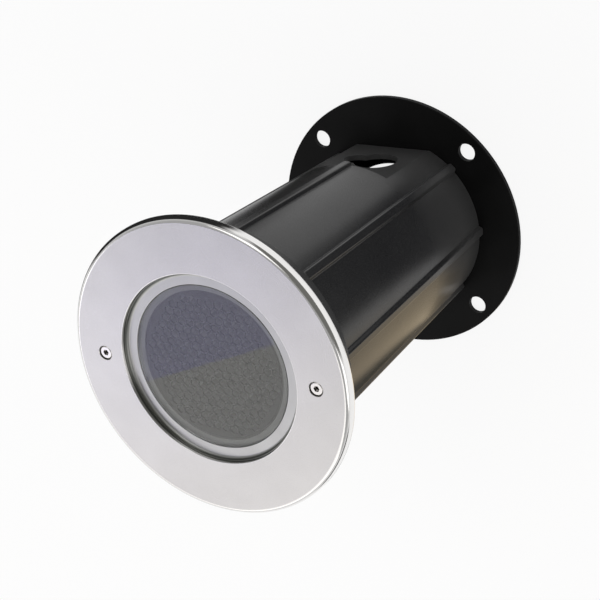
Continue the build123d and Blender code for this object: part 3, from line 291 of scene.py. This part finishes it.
# %% Lay the cards and stand the flags
CARD_LIFT = 0.5  # height of a card above the floor, in mm
CARD_STEPS = 24
SOFT_ENDS = 12.0  # degrees at each end of a card over which it fades out
BLACK = (0.02, 0.02, 0.02)
SHADE = (0.16, 0.16, 0.15)
CARDS = (
    # name, sector in degrees, first and second end of the line as (radius, height) in mm, colour
    ("dark_card_front", 32.0, 115.0, (80.0, CARD_LIFT), (228.0, CARD_LIFT), (0.11, 0.11, 0.12)),
    ("dark_card_back", 160.0, 210.0, (70.0, CARD_LIFT), (172.0, CARD_LIFT), (0.04, 0.04, 0.04)),
    ("dark_card_left", 184.0, 222.0, (172.0, CARD_LIFT), (212.0, CARD_LIFT), (0.05, 0.05, 0.05)),
    ("warm_card", -34.0, 28.0, (78.0, CARD_LIFT), (215.0, CARD_LIFT), (1.10, 0.90, 0.62)),
    ("dark_card_right", -90.0, -18.0, (78.0, 2 * CARD_LIFT), (215.0, 2 * CARD_LIFT), (0.06, 0.06, 0.05)),
    ("black_card_left", 136.0, 246.0, (212.0, CARD_LIFT), (1200.0, CARD_LIFT), BLACK),
    ("flag_left", 136.0, 232.0, (1200.0, CARD_LIFT), (1200.0, 640.0), BLACK),
    ("flag_camera", 36.0, 134.0, (1300.0, 120.0), (1300.0, 1900.0), SHADE),
    ("flag_over", 34.0, 138.0, (1300.0, 1900.0), (60.0, 1900.0), SHADE),
    ("flag_right", -45.0, 5.0, (1200.0, 60.0), (1200.0, 380.0), BLACK),
)


def card_paint(name, middle, half_width, colour):
    """An even glow that fades out over the last few degrees of the sector."""
    paint = bpy.data.materials.new(name)
    paint.use_nodes = True
    tree = paint.node_tree
    faced = add_node(tree, "ShaderNodeVectorRotate", {"Angle": -math.radians(middle)},
                     rotation_type="Z_AXIS")
    away = add_node(tree, "ShaderNodeMath", operation="ABSOLUTE")
    edge = add_node(tree, "ShaderNodeMapRange", {"From Min": math.radians(half_width - SOFT_ENDS),
                                                 "From Max": math.radians(half_width)},
                    interpolation_type="SMOOTHSTEP")
    glow = add_node(tree, "ShaderNodeEmission", {"Color": (*colour, 1.0), "Strength": 1.0})
    clear = add_node(tree, "ShaderNodeBsdfTransparent")
    mixed = add_node(tree, "ShaderNodeMixShader")
    tree.links.new(object_place(tree), faced.inputs["Vector"])
    tree.links.new(angle_of(tree, faced.outputs[0]), away.inputs[0])
    tree.links.new(away.outputs[0], edge.inputs["Value"])
    tree.links.new(edge.outputs["Result"], mixed.inputs[0])
    tree.links.new(glow.outputs[0], mixed.inputs[1])
    tree.links.new(clear.outputs[0], mixed.inputs[2])
    tree.links.new(mixed.outputs[0], tree.nodes["Material Output"].inputs["Surface"])
    return paint


def reflected_card(name, start, end, first, second, colour):
    """A line spun through a sector, which only reflections show."""
    card_mesh = bmesh.new()
    corners = [card_mesh.verts.new((radius * MM, 0.0, height * MM))
               for radius, height in (first, second)]
    edge = card_mesh.edges.new(corners)
    turn = Matrix.Rotation(math.radians(start), 3, "Z")
    bmesh.ops.rotate(card_mesh, verts=corners, cent=(0, 0, 0), matrix=turn)
    bmesh.ops.spin(card_mesh, geom=corners + [edge], cent=(0, 0, 0), axis=(0, 0, 1), dvec=(0, 0, 0),
                   angle=math.radians(end - start), steps=CARD_STEPS, use_merge=False)
    bmesh.ops.recalc_face_normals(card_mesh, faces=card_mesh.faces)
    card = bpy.data.objects.new(name, bpy.data.meshes.new(name))
    card_mesh.to_mesh(card.data)
    card_mesh.free()
    card.data.materials.append(card_paint(name, (start + end) / 2, (end - start) / 2, colour))
    card.visible_camera = False
    card.visible_diffuse = False
    card.visible_transmission = False
    card.visible_shadow = False
    bpy.context.scene.collection.objects.link(card)


for settings in CARDS:
    reflected_card(*settings)
print(f"{len(CARDS)} cards and flags")

# %% [markdown]
# ## Patterns that the finishes share
# Real surfaces are never one flat value. Three patterns cover this light: a fine grain, for paint,
# moulded nylon and rubber; broad clouds, for the way a large face picks up a little tone here and
# there; and turned rings, for metal that was brushed or cut while it span round the light's axis.
# All of them read Object coordinates in metres, so a pattern keeps its real size on every piece.

# %% Shared patterns
RING_STRETCH = 0.01  # metres of pattern to a radian, so that blobs become long arcs


def noise(tree, place, size, detail=2.0, roughness=0.5):
    """Noise whose blobs are about that size, in metres, from 0 to 1."""
    made = add_node(tree, "ShaderNodeTexNoise", {"Scale": 1.0 / size, "Detail": detail,
                                                 "Roughness": roughness})
    tree.links.new(place, made.inputs["Vector"])
    return made.outputs["Fac"]


def turned_rings(tree, place, ring_stretch=RING_STRETCH):
    """Coordinates that unroll a turned face, so that noise on them runs in rings."""
    along = add_node(tree, "ShaderNodeMath", {1: ring_stretch}, operation="MULTIPLY")
    join = add_node(tree, "ShaderNodeCombineXYZ")
    tree.links.new(angle_of(tree, place), along.inputs[0])
    tree.links.new(radius_of(tree, place), join.inputs["X"])
    tree.links.new(along.outputs[0], join.inputs["Y"])
    tree.links.new(height_of(tree, place), join.inputs["Z"])
    return join.outputs[0]


def spread(tree, value, low, high, start=0.3, end=0.7):
    """The pattern's middle part stretched to run from low to high."""
    made = add_node(tree, "ShaderNodeMapRange", {"From Min": start, "From Max": end,
                                                 "To Min": low, "To Max": high})
    tree.links.new(value, made.inputs["Value"])
    return made.outputs["Result"]


def tint(tree, shader, value, first, second):
    """The base colour runs from first to second with the pattern."""
    mix = add_node(tree, "ShaderNodeMix", {"A": first, "B": second}, data_type="RGBA")
    tree.links.new(value, mix.inputs["Factor"])
    tree.links.new(mix.outputs["Result"], shader.inputs["Base Color"])


def relief(tree, shader, value, height, after=None):
    """A bump of that height in metres, on top of another bump where one is given."""
    bump = add_node(tree, "ShaderNodeBump", {"Strength": 1.0, "Distance": height})
    tree.links.new(value, bump.inputs["Height"])
    if after:
        tree.links.new(after.outputs[0], bump.inputs["Normal"])
    tree.links.new(bump.outputs[0], shader.inputs["Normal"])
    return bump


# %% [markdown]
# ## Brushed stainless steel
# The trim is a thick stainless ring, brushed on its face and polished on its rounded rim and on the
# edge of its window. The face is satin, so it shows the soft boxes as one even pale grey, and the
# polish shows the room as bright and dark lines. One material does both: the distance from the axis
# says where the polish starts.

# %% Brushed stainless
TRIM_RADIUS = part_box("trim_ring")[1].x
POLISH_START = TRIM_RADIUS - 3.0 * MM
POLISH_FULL = TRIM_RADIUS - 2.4 * MM
WINDOW_EDGE = 53.1 * MM
WINDOW_POLISH_FULL = WINDOW_EDGE - 0.2 * MM
STEEL = (0.585, 0.575, 0.570, 1.0)
STEEL_PALE = (0.625, 0.615, 0.610, 1.0)
POLISHED_STEEL = (0.86, 0.85, 0.84, 1.0)
SATIN = 0.30
POLISH = 0.11
SATIN_SPREAD = 0.05
BRUSH_WIDTH = 0.12 * MM
BRUSH_STRETCH = 0.012
BRUSH_DEPTH = 0.004 * MM
NO_BRUSH = 0.5  # one height everywhere, so that polish has no scratches
STEEL_CLOUDS = 28 * MM


def brushed_stainless():
    """Satin with fine turned scratches, and polish at the rim and at the window's edge."""
    material, tree, shader = start_material("brushed_stainless", Metallic=1.0)
    place = object_place(tree)
    radius = radius_of(tree, place)
    brush = noise(tree, turned_rings(tree, place, BRUSH_STRETCH), BRUSH_WIDTH, detail=3.0, roughness=0.6)
    clouds = noise(tree, place, STEEL_CLOUDS)
    on_rim = spread(tree, radius, 0.0, 1.0, POLISH_START, POLISH_FULL)
    in_window = spread(tree, radius, 1.0, 0.0, WINDOW_POLISH_FULL, WINDOW_EDGE)
    polished = add_node(tree, "ShaderNodeMath", operation="MAXIMUM")
    tree.links.new(on_rim, polished.inputs[0])
    tree.links.new(in_window, polished.inputs[1])
    brushed = add_node(tree, "ShaderNodeMix", {"A": STEEL, "B": STEEL_PALE}, data_type="RGBA")
    steel = add_node(tree, "ShaderNodeMix", {"B": POLISHED_STEEL}, data_type="RGBA")
    tree.links.new(spread(tree, clouds, 0.0, 1.0), brushed.inputs["Factor"])
    tree.links.new(polished.outputs[0], steel.inputs["Factor"])
    tree.links.new(brushed.outputs["Result"], steel.inputs["A"])
    tree.links.new(steel.outputs["Result"], shader.inputs["Base Color"])
    satin = add_node(tree, "ShaderNodeMix", {"B": POLISH}, data_type="FLOAT")
    tree.links.new(polished.outputs[0], satin.inputs["Factor"])
    tree.links.new(spread(tree, brush, SATIN - SATIN_SPREAD, SATIN + SATIN_SPREAD), satin.inputs["A"])
    tree.links.new(satin.outputs["Result"], shader.inputs["Roughness"])
    scratch = add_node(tree, "ShaderNodeMix", {"B": NO_BRUSH}, data_type="FLOAT")
    tree.links.new(polished.outputs[0], scratch.inputs["Factor"])
    tree.links.new(brush, scratch.inputs["A"])
    relief(tree, shader, scratch.outputs["Result"], BRUSH_DEPTH)
    return material


# %% [markdown]
# The bezel ring that holds the glass is a die-cast alloy ring with a turned, satin face. Towards its
# hollow outer edge its colour darkens with the radius, which is painted shade beside the trim's wall.

# %% Turned alloy
ALLOY = (0.46, 0.46, 0.455, 1.0)
ALLOY_PALE = (0.51, 0.51, 0.505, 1.0)
# The colour of the painted shade in the bezel's hollow.
HOLLOW_PAINTED_SHADE = (0.20, 0.205, 0.19, 1.0)
HOLLOW_START = 50.3 * MM
HOLLOW_END = 51.7 * MM
ALLOY_SATIN = 0.31
CUT_WIDTH = 0.10 * MM
CUT_DEPTH = 0.003 * MM
CUT_SPREAD = 0.04
ALLOY_CLOUDS = 15 * MM


def turned_alloy(name, first, second, satin):
    """Metal whose colour runs from first to second in clouds, with fine rings from the lathe."""
    material, tree, shader = start_material(name, Metallic=1.0)
    place = object_place(tree)
    cut = noise(tree, turned_rings(tree, place), CUT_WIDTH)
    clouds = noise(tree, place, ALLOY_CLOUDS)
    tint(tree, shader, spread(tree, clouds, 0.0, 1.0), first, second)
    tree.links.new(spread(tree, cut, satin - CUT_SPREAD, satin + CUT_SPREAD), shader.inputs["Roughness"])
    relief(tree, shader, cut, CUT_DEPTH)
    return material


def bezel_alloy():
    """Turned alloy with painted shade that darkens it in the hollow."""
    material = turned_alloy("bezel_alloy", ALLOY, ALLOY_PALE, ALLOY_SATIN)
    tree = material.node_tree
    shader = tree.nodes["Principled BSDF"]
    radius = radius_of(tree, object_place(tree))
    # Painted shade: the colour darkens to it towards the hollow.
    hollow_shade = add_node(tree, "ShaderNodeMix", {"B": HOLLOW_PAINTED_SHADE}, data_type="RGBA")
    turned = shader.inputs["Base Color"].links[0].from_socket
    tree.links.new(spread(tree, radius, 0.0, 1.0, HOLLOW_START, HOLLOW_END), hollow_shade.inputs["Factor"])
    tree.links.new(turned, hollow_shade.inputs["A"])
    tree.links.new(hollow_shade.outputs["Result"], shader.inputs["Base Color"])
    return material


# %% [markdown]
# Small fasteners are bright stainless with the fine marks of the machine that turned their heads.

# %% Screw steel
SOCKET_RADIUS = 1.35 * MM
SOCKET_EDGE = 0.1 * MM
# The colour of the painted shade inside each hex socket.
SOCKET_PAINTED_SHADE = (0.02, 0.018, 0.016, 1.0)
SCREW_LOW, SCREW_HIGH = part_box("face_screw_right")
SCREW_AXIS = (SCREW_LOW + SCREW_HIGH) / 2


def screw_steel():
    return turned_alloy("screw_steel", (0.72, 0.70, 0.68, 1.0), (0.80, 0.78, 0.76, 1.0), 0.20)


def face_screw_steel():
    """Screw steel with painted shade in its sockets; both screws share it, so it measures from |x|, |y|.
    """
    material = screw_steel()
    material.name = "face_screw_steel"
    tree = material.node_tree
    shader = tree.nodes["Principled BSDF"]
    folded = add_node(tree, "ShaderNodeVectorMath", operation="ABSOLUTE")
    centred = add_node(tree, "ShaderNodeVectorMath", {1: (abs(SCREW_AXIS.x), abs(SCREW_AXIS.y), 0.0)},
                       operation="SUBTRACT")
    tree.links.new(object_place(tree), folded.inputs[0])
    tree.links.new(folded.outputs[0], centred.inputs[0])
    radius = radius_of(tree, centred.outputs[0])
    bright = spread(tree, radius, 0.0, 1.0, SOCKET_RADIUS, SOCKET_RADIUS + SOCKET_EDGE)
    # Inside the socket radius the colour is painted shade.
    shaded_socket = add_node(tree, "ShaderNodeMix", {"A": SOCKET_PAINTED_SHADE}, data_type="RGBA")
    steel = shader.inputs["Base Color"].links[0].from_socket
    tree.links.new(bright, shaded_socket.inputs["Factor"])
    tree.links.new(steel, shaded_socket.inputs["B"])
    tree.links.new(shaded_socket.outputs["Result"], shader.inputs["Base Color"])
    return material


# %% [markdown]
# ## Clear glass
# The window is toughened glass, level with the bezel. It is a solid of glass, as the real one is, so
# it bends what is seen through it, and it shows the soft boxes as a thin veil.

# %% Clear glass
GLASS_INDEX = 1.52
GLASS_TINT = (0.97, 0.99, 0.98, 1.0)
GLASS_PALE = (0.985, 0.995, 0.99, 1.0)
GLASS_WAVE = 30 * MM
GLASS_WAVE_DEPTH = 0.01 * MM


def clear_glass():
    """Smooth glass with a slight wave, as a pressed disc has."""
    material, tree, shader = start_material("clear_glass", Transmission_Weight=1.0, Roughness=0.0,
                                            IOR=GLASS_INDEX)
    wave = noise(tree, object_place(tree), GLASS_WAVE, detail=1.0)
    tint(tree, shader, spread(tree, wave, 0.0, 1.0), GLASS_TINT, GLASS_PALE)
    relief(tree, shader, wave, GLASS_WAVE_DEPTH)
    return material


# %% [markdown]
# ## Moulded, cast and rubber pieces
# The sleeve is black and half glossy, with the very fine grain of a moulding. The flange is duller
# and darker. Seals are soft rubber with almost no shine, and the cast housing has a coarser grain.
# They differ only in colour, shine and grain, so one function makes them all.

# %% Moulded finishes
MOULD_CLOUDS = 22 * MM
MOULD_SPREAD = 0.06
SLEEVE_WAVE_DEPTH = 0.10 * MM
FOOT_FULL = 22 * MM
FOOT_END = 62 * MM
# The paler colour painted towards the foot as light.
FOOT_PAINTED_LIGHT = 0.045
FOOT_ROUGHNESS = 0.5
LOUVRE_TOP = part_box("honeycomb_louvre")[1].z
LOUVRE_SHADE_START = LOUVRE_TOP - 1.4 * MM
LOUVRE_SHADE_FULL = LOUVRE_TOP - 0.2 * MM
# Painted light: the paler colour of the cell walls below their top edges; painted shade: the darker
# colour at the top edges.
LOUVRE_DEEP_PAINTED_LIGHT = 0.26
LOUVRE_TOP_PAINTED_SHADE = 0.030


def moulded(name, first, second, roughness, grain, grain_height, specular=0.5, wave_height=0.0):
    """A dull surface whose colour runs from first to second in clouds, with a grain of that size."""
    material, tree, shader = start_material(name, Specular_IOR_Level=specular)
    place = object_place(tree)
    fine = noise(tree, place, grain, detail=3.0, roughness=0.6)
    clouds = noise(tree, place, MOULD_CLOUDS)
    tint(tree, shader, spread(tree, clouds, 0.0, 1.0), first, second)
    rough = spread(tree, fine, roughness - MOULD_SPREAD, roughness + MOULD_SPREAD)
    tree.links.new(rough, shader.inputs["Roughness"])
    wave = relief(tree, shader, clouds, wave_height) if wave_height else None
    relief(tree, shader, fine, grain_height, after=wave)
    return material


def sleeve_black():
    """Half glossy, but duller and a little paler towards the foot; the paler colour is painted light."""
    material = moulded("sleeve_black", grey(0.009), grey(0.014), 0.29, 0.35 * MM, 0.006 * MM,
                       wave_height=SLEEVE_WAVE_DEPTH)
    tree = material.node_tree
    shader = tree.nodes["Principled BSDF"]
    foot = spread(tree, height_of(tree, object_place(tree)), 1.0, 0.0, FOOT_FULL, FOOT_END)
    # The paler colour at the foot is painted light; the duller roughness there is not.
    colour = add_node(tree, "ShaderNodeMix", {"B": grey(FOOT_PAINTED_LIGHT)}, data_type="RGBA")
    dull = add_node(tree, "ShaderNodeMix", {"B": FOOT_ROUGHNESS}, data_type="FLOAT")
    for mix, result in ((colour, "Base Color"), (dull, "Roughness")):
        upper = shader.inputs[result].links[0].from_socket
        tree.links.new(foot, mix.inputs["Factor"])
        tree.links.new(upper, mix.inputs["A"])
        tree.links.new(mix.outputs["Result"], shader.inputs[result])
    return material


def flange_black():
    return moulded("flange_black", grey(0.003), grey(0.005), 0.55, 0.5 * MM, 0.02 * MM, specular=0.10)


def rubber_black():
    return moulded("rubber_black", grey(0.012), grey(0.020), 0.75, 0.25 * MM, 0.01 * MM, specular=0.3)


def seal_grey():
    return moulded("seal_grey", grey(0.165), grey(0.185), 0.7, 0.25 * MM, 0.01 * MM, specular=0.3)


def louvre_grey():
    """Painted shade darkens the cells' top edges and painted light makes the walls below paler, so the
    pattern stays faint.
    """
    material, tree, shader = start_material("louvre_grey", Roughness=0.6, Specular_IOR_Level=0.2)
    place = object_place(tree)
    # Painted shade at the top edges of the cells, painted light below them.
    top_shade_mask = spread(tree, height_of(tree, place), 0.0, 1.0, LOUVRE_SHADE_START, LOUVRE_SHADE_FULL)
    tint(tree, shader, top_shade_mask, grey(LOUVRE_DEEP_PAINTED_LIGHT), grey(LOUVRE_TOP_PAINTED_SHADE))
    relief(tree, shader, noise(tree, place, 0.3 * MM), 0.004 * MM)
    return material


def nylon_black():
    return moulded("nylon_black", grey(0.014), grey(0.022), 0.48, 0.4 * MM, 0.012 * MM)


def nylon_white():
    return moulded("nylon_white", (0.74, 0.73, 0.69, 1.0), (0.80, 0.79, 0.76, 1.0), 0.45, 0.4 * MM,
                   0.01 * MM)


def cast_alloy():
    return moulded("cast_alloy", (0.23, 0.23, 0.235, 1.0), (0.29, 0.29, 0.29, 1.0), 0.55, 0.9 * MM,
                   0.05 * MM)


# %% [markdown]
# ## Pieces inside
# Seen when the unit is lifted out or taken apart: brass inserts and the plain reflector, a green
# board, the white board under the emitter and the yellow emitter itself.

# %% Inside finishes
def brass():
    return turned_alloy("brass", (0.66, 0.47, 0.20, 1.0), (0.74, 0.55, 0.26, 1.0), 0.26)


def mirror_alloy():
    return turned_alloy("mirror_alloy", (0.80, 0.80, 0.80, 1.0), (0.86, 0.86, 0.86, 1.0), 0.10)


def board_green():
    return moulded("board_green", (0.010, 0.085, 0.030, 1.0), (0.016, 0.125, 0.045, 1.0), 0.35,
                   1.5 * MM, 0.01 * MM)


def board_white():
    return moulded("board_white", grey(0.78), grey(0.84), 0.4, 0.8 * MM, 0.006 * MM)


def emitter_yellow():
    return moulded("emitter_yellow", (0.80, 0.58, 0.08, 1.0), (0.86, 0.66, 0.14, 1.0), 0.35, 0.3 * MM,
                   0.02 * MM)


# %% [markdown]
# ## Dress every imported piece
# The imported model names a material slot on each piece. A finish is made for each slot once, and
# every piece with that slot gets it.

# %% Give each piece its finish
FINISHES = {
    "stainless": brushed_stainless, "bezel_alloy": bezel_alloy, "screw_steel": screw_steel,
    "clear_glass": clear_glass, "sleeve_black": sleeve_black, "flange_black": flange_black,
    "rubber_black": rubber_black, "seal_grey": seal_grey, "louvre_grey": louvre_grey,
    "nylon_black": nylon_black, "nylon_white": nylon_white, "cast_alloy": cast_alloy,
    "brass": brass, "mirror_alloy": mirror_alloy, "board_green": board_green,
    "board_white": board_white, "emitter_yellow": emitter_yellow,
}
made_finishes = {slot: make() for slot, make in FINISHES.items()}
face_steel = face_screw_steel()
for name, piece in sorted(nodes.items()):
    for material_slot in piece.material_slots:
        packed = material_slot.material.name
        material_slot.material = face_steel if name.startswith("face_screw") else made_finishes[packed]
print(f"{len(made_finishes)} finishes on {len(nodes)} pieces")

# %% [markdown]
# ## The turned pieces that face the viewer
# Two rings and a disc fill most of the picture: the trim, the bezel and the glass. All of them are
# turned about one axis, so each is an outline spun through a full turn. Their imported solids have
# coarse facets on the small roundings, which polish would show, so finer ones replace them here. The
# roundings are bevels on the spun edges, as a lathe would break an edge. Normals are weighted by
# area, so the large flat faces reflect as flat ones and only the roundings bend a reflection.

# %% A lathe for turned pieces
LATHE_STEPS = 192
SHARP_ANGLE = math.radians(32)
MERGE_WITHIN = 0.001 * MM
FIND_WITHIN = 0.02 * MM


def close_to(value, wanted):
    """Whether a measure is the wanted one, apart from rounding errors."""
    return abs(value - wanted) < FIND_WITHIN


def lathe(outline, steps=LATHE_STEPS):
    """A closed outline of (radius, level) in mm, spun through a full turn about the light's axis."""
    made = bmesh.new()
    points = [made.verts.new((radius * MM, 0.0, level * MM)) for radius, level in outline]
    lines = [made.edges.new((first, second)) for first, second in zip(points, points[1:] + points[:1])]
    bmesh.ops.spin(made, geom=points + lines, cent=(0, 0, 0), axis=(0, 0, 1), dvec=(0, 0, 0),
                   angle=math.tau, steps=steps, use_merge=True)
    bmesh.ops.remove_doubles(made, verts=made.verts, dist=MERGE_WITHIN)
    bmesh.ops.recalc_face_normals(made, faces=made.faces)
    return made


def round_ring(made, radius, level, size, segments):
    """Round the circular edge at that radius and level, all in mm."""
    ring = [edge for edge in made.edges
            if all(close_to(v.co.z, level * MM) and close_to(v.co.xy.length, radius * MM)
                   for v in edge.verts)]
    bmesh.ops.bevel(made, geom=ring, offset=size * MM, offset_type="OFFSET", segments=segments,
                    profile=0.5, affect="EDGES", material=-1, clamp_overlap=True)


def finish_piece(made, name, slot, body, replaced):
    """Turn a bmesh into a shown piece with its finish, its body and the node it stands for."""
    piece = bpy.data.objects.new(name, bpy.data.meshes.new(name))
    made.to_mesh(piece.data)
    made.free()
    bpy.context.scene.collection.objects.link(piece)
    piece.data.shade_smooth()
    piece.data.set_sharp_from_angle(angle=SHARP_ANGLE)
    flat_faces = piece.modifiers.new("flat_faces", "WEIGHTED_NORMAL")
    flat_faces.keep_sharp = True
    piece.data.materials.append(made_finishes[slot])
    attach(piece, body)
    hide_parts(replaced)
    print(f"{name}: {len(piece.data.polygons)} faces")


# %% [markdown]
# ### The trim ring
# A flat ring with a large rounding on its rim. Its two counterbores are cut with a Boolean, which is
# the direct way to put a hole that isn't on the axis into a spun shape, and the cutters are lathed
# too, with a small chamfer at the top that leaves a bright broken edge round each screw. Four small
# holes from below take the screws that hold the lamp housing, and they go through the bezel too.

# %% Model the trim ring
TRIM_LOW, TRIM_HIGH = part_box("trim_ring")
TRIM_RIM = TRIM_HIGH.x / MM
TRIM_TOP = TRIM_HIGH.z / MM
TRIM_BOTTOM = TRIM_LOW.z / MM
TRIM_TOP_ROUND = 2.8
TRIM_BACK_ROUND = 1.0
WINDOW = 52.6
WINDOW_ROUND = 0.4
GROOVE_INNER = 71.6
GROOVE_OUTER = 78.5
GROOVE_TOP = TRIM_BOTTOM + 3.0
SEAT_RADIUS = 4.0
SEAT_LEVEL = TRIM_TOP - 2.9
SEAT_FLARE = 0.2
SHAFT_HOLE = 2.2
CUTTER_STEPS = 64
HOUSING_SCREW_HEAD = 2.3
HOUSING_SCREW_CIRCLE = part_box("housing_screws")[1].x / MM - HOUSING_SCREW_HEAD
HOUSING_SCREW_COUNT = 4
HOUSING_HOLE_STEPS = 32
TAPPED_HOLE = 1.25
TAPPED_TOP = TRIM_BOTTOM + 3.5
CLEARANCE_HOLE = 1.45
CUT_PAST = 1.0  # how far a cutter reaches past a face that it goes through
CUTTER_TURN = math.radians(2)  # keeps a cutter's corners off the ring's own lines


def put_cutter(cutter, place):
    """A lathed cutter moved to its place, turned a little about its own axis."""
    turn = Matrix.Rotation(CUTTER_TURN, 3, "Z")
    bmesh.ops.rotate(cutter, verts=cutter.verts, cent=(0, 0, 0), matrix=turn)
    bmesh.ops.translate(cutter, verts=cutter.verts, vec=place)
    return cutter


def screw_cutter(side):
    """The counterbore and its through hole, as one lathed cutter at a face screw."""
    below = TRIM_BOTTOM - CUT_PAST
    above = TRIM_TOP + CUT_PAST
    cutter = lathe([(0.0, below), (SHAFT_HOLE, below), (SHAFT_HOLE, SEAT_LEVEL),
                    (SEAT_RADIUS, SEAT_LEVEL), (SEAT_RADIUS, TRIM_TOP - SEAT_FLARE),
                    (SEAT_RADIUS + SEAT_FLARE + CUT_PAST, above), (0.0, above)], CUTTER_STEPS)
    return put_cutter(cutter, Vector((side * SCREW_AXIS.x, side * SCREW_AXIS.y, 0.0)))


def housing_screw_cutters(radius, low, high):
    """An upright rod at each of the housing screws, from one level to the other in mm."""
    rods = []
    for number in range(HOUSING_SCREW_COUNT):
        rod = lathe([(0.0, low), (radius, low), (radius, high), (0.0, high)], HOUSING_HOLE_STEPS)
        around = math.tau * number / HOUSING_SCREW_COUNT
        place = Vector((math.cos(around), math.sin(around), 0.0)) * HOUSING_SCREW_CIRCLE * MM
        rods.append(put_cutter(rod, place))
    return rods


def cut_away(made, cutters):
    """The mesh with each cutter taken out of it."""
    work = bpy.data.objects.new("work", bpy.data.meshes.new("work"))
    made.to_mesh(work.data)
    made.free()
    bpy.context.scene.collection.objects.link(work)
    tools = []
    for cutter in cutters:
        tool = bpy.data.objects.new("tool", bpy.data.meshes.new("tool"))
        cutter.to_mesh(tool.data)
        cutter.free()
        bpy.context.scene.collection.objects.link(tool)
        cut = work.modifiers.new("cut", "BOOLEAN")
        cut.operation = "DIFFERENCE"
        cut.solver = "EXACT"
        cut.object = tool
        tools.append(tool)
    shaped = bpy.data.meshes.new_from_object(work.evaluated_get(bpy.context.evaluated_depsgraph_get()))
    result = bmesh.new()
    result.from_mesh(shaped)
    bmesh.ops.remove_doubles(result, verts=result.verts, dist=MERGE_WITHIN)
    for helper in (work, *tools):
        bpy.data.objects.remove(helper)
    bpy.data.meshes.remove(shaped)
    return result


trim = lathe([(WINDOW, TRIM_BOTTOM), (GROOVE_INNER, TRIM_BOTTOM), (GROOVE_INNER, GROOVE_TOP),
              (GROOVE_OUTER, GROOVE_TOP), (GROOVE_OUTER, TRIM_BOTTOM), (TRIM_RIM, TRIM_BOTTOM),
              (TRIM_RIM, TRIM_TOP), (WINDOW, TRIM_TOP)])
round_ring(trim, TRIM_RIM, TRIM_TOP, TRIM_TOP_ROUND, segments=10)
round_ring(trim, TRIM_RIM, TRIM_BOTTOM, TRIM_BACK_ROUND, segments=4)
round_ring(trim, WINDOW, TRIM_TOP, WINDOW_ROUND, segments=4)
tapped_holes = housing_screw_cutters(TAPPED_HOLE, TRIM_BOTTOM - CUT_PAST, TAPPED_TOP)
trim = cut_away(trim, [screw_cutter(1), screw_cutter(-1), *tapped_holes])
finish_piece(trim, "trim_ring_turned", "stainless", "light_unit", "trim_ring")

# %% [markdown]
# ### The bezel and the glass
# The bezel's flat face runs out into a hollow that climbs to the trim. The hollow is a quarter of a
# circle, so its points come from one sine and cosine. The glass is a plain disc with its edge
# broken, set flush with the bezel.

# %% Model the bezel ring
BEZEL_LOW, BEZEL_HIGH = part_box("bezel_ring")
GLASS_LOW, GLASS_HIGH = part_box("lens_glass")
BEZEL_FACE = GLASS_HIGH.z / MM
BEZEL_BORE = 45.5
BORE_ROUND = 0.25
BEZEL_GAP = 0.2
BEZEL_RIM = WINDOW - BEZEL_GAP
COVE = 1.9
COVE_STEPS = 12
COVE_END = BEZEL_RIM - WINDOW_ROUND
COVE_TOP = BEZEL_FACE + COVE
SKIRT_OUTER = 46.8
SKIRT_INNER = 44.8
SKIRT_BOTTOM = BEZEL_LOW.z / MM
FLANGE_OUTER = BEZEL_HIGH.x / MM
FLANGE_BOTTOM = 201.0
SEAL_BORE = 41.8
SEAL_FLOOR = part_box("lens_seal")[0].z / MM

cove = []
for step in range(COVE_STEPS + 1):
    swing = math.radians(90) * step / COVE_STEPS
    cove.append((COVE_END - COVE + COVE * math.sin(swing), COVE_TOP - COVE * math.cos(swing)))
bezel = lathe(cove + [(BEZEL_RIM, COVE_TOP), (BEZEL_RIM, TRIM_BOTTOM), (FLANGE_OUTER, TRIM_BOTTOM),
                      (FLANGE_OUTER, FLANGE_BOTTOM), (SKIRT_OUTER, FLANGE_BOTTOM),
                      (SKIRT_OUTER, SKIRT_BOTTOM), (SKIRT_INNER, SKIRT_BOTTOM),
                      (SKIRT_INNER, FLANGE_BOTTOM), (SEAL_BORE, FLANGE_BOTTOM),
                      (SEAL_BORE, SEAL_FLOOR), (BEZEL_BORE, SEAL_FLOOR), (BEZEL_BORE, BEZEL_FACE)])
round_ring(bezel, BEZEL_BORE, BEZEL_FACE, BORE_ROUND, segments=3)
clearance_holes = housing_screw_cutters(CLEARANCE_HOLE, FLANGE_BOTTOM - CUT_PAST, TRIM_BOTTOM + CUT_PAST)
bezel = cut_away(bezel, clearance_holes)
finish_piece(bezel, "bezel_ring_turned", "bezel_alloy", "light_unit", "bezel_ring")

# %% Model the glass
GLASS_RADIUS = GLASS_HIGH.x / MM
GLASS_ROUND = 0.3
SEAL_GAP = 0.02  # lifts the glass a hair off its seal, so that the seal shows through it
GLASS_BACK = GLASS_LOW.z / MM + SEAL_GAP
glass = lathe([(0.0, GLASS_BACK), (GLASS_RADIUS, GLASS_BACK), (GLASS_RADIUS, BEZEL_FACE),
               (0.0, BEZEL_FACE)])
round_ring(glass, GLASS_RADIUS, BEZEL_FACE, GLASS_ROUND, segments=3)
finish_piece(glass, "lens_glass_polished", "clear_glass", "light_unit", "lens_glass")
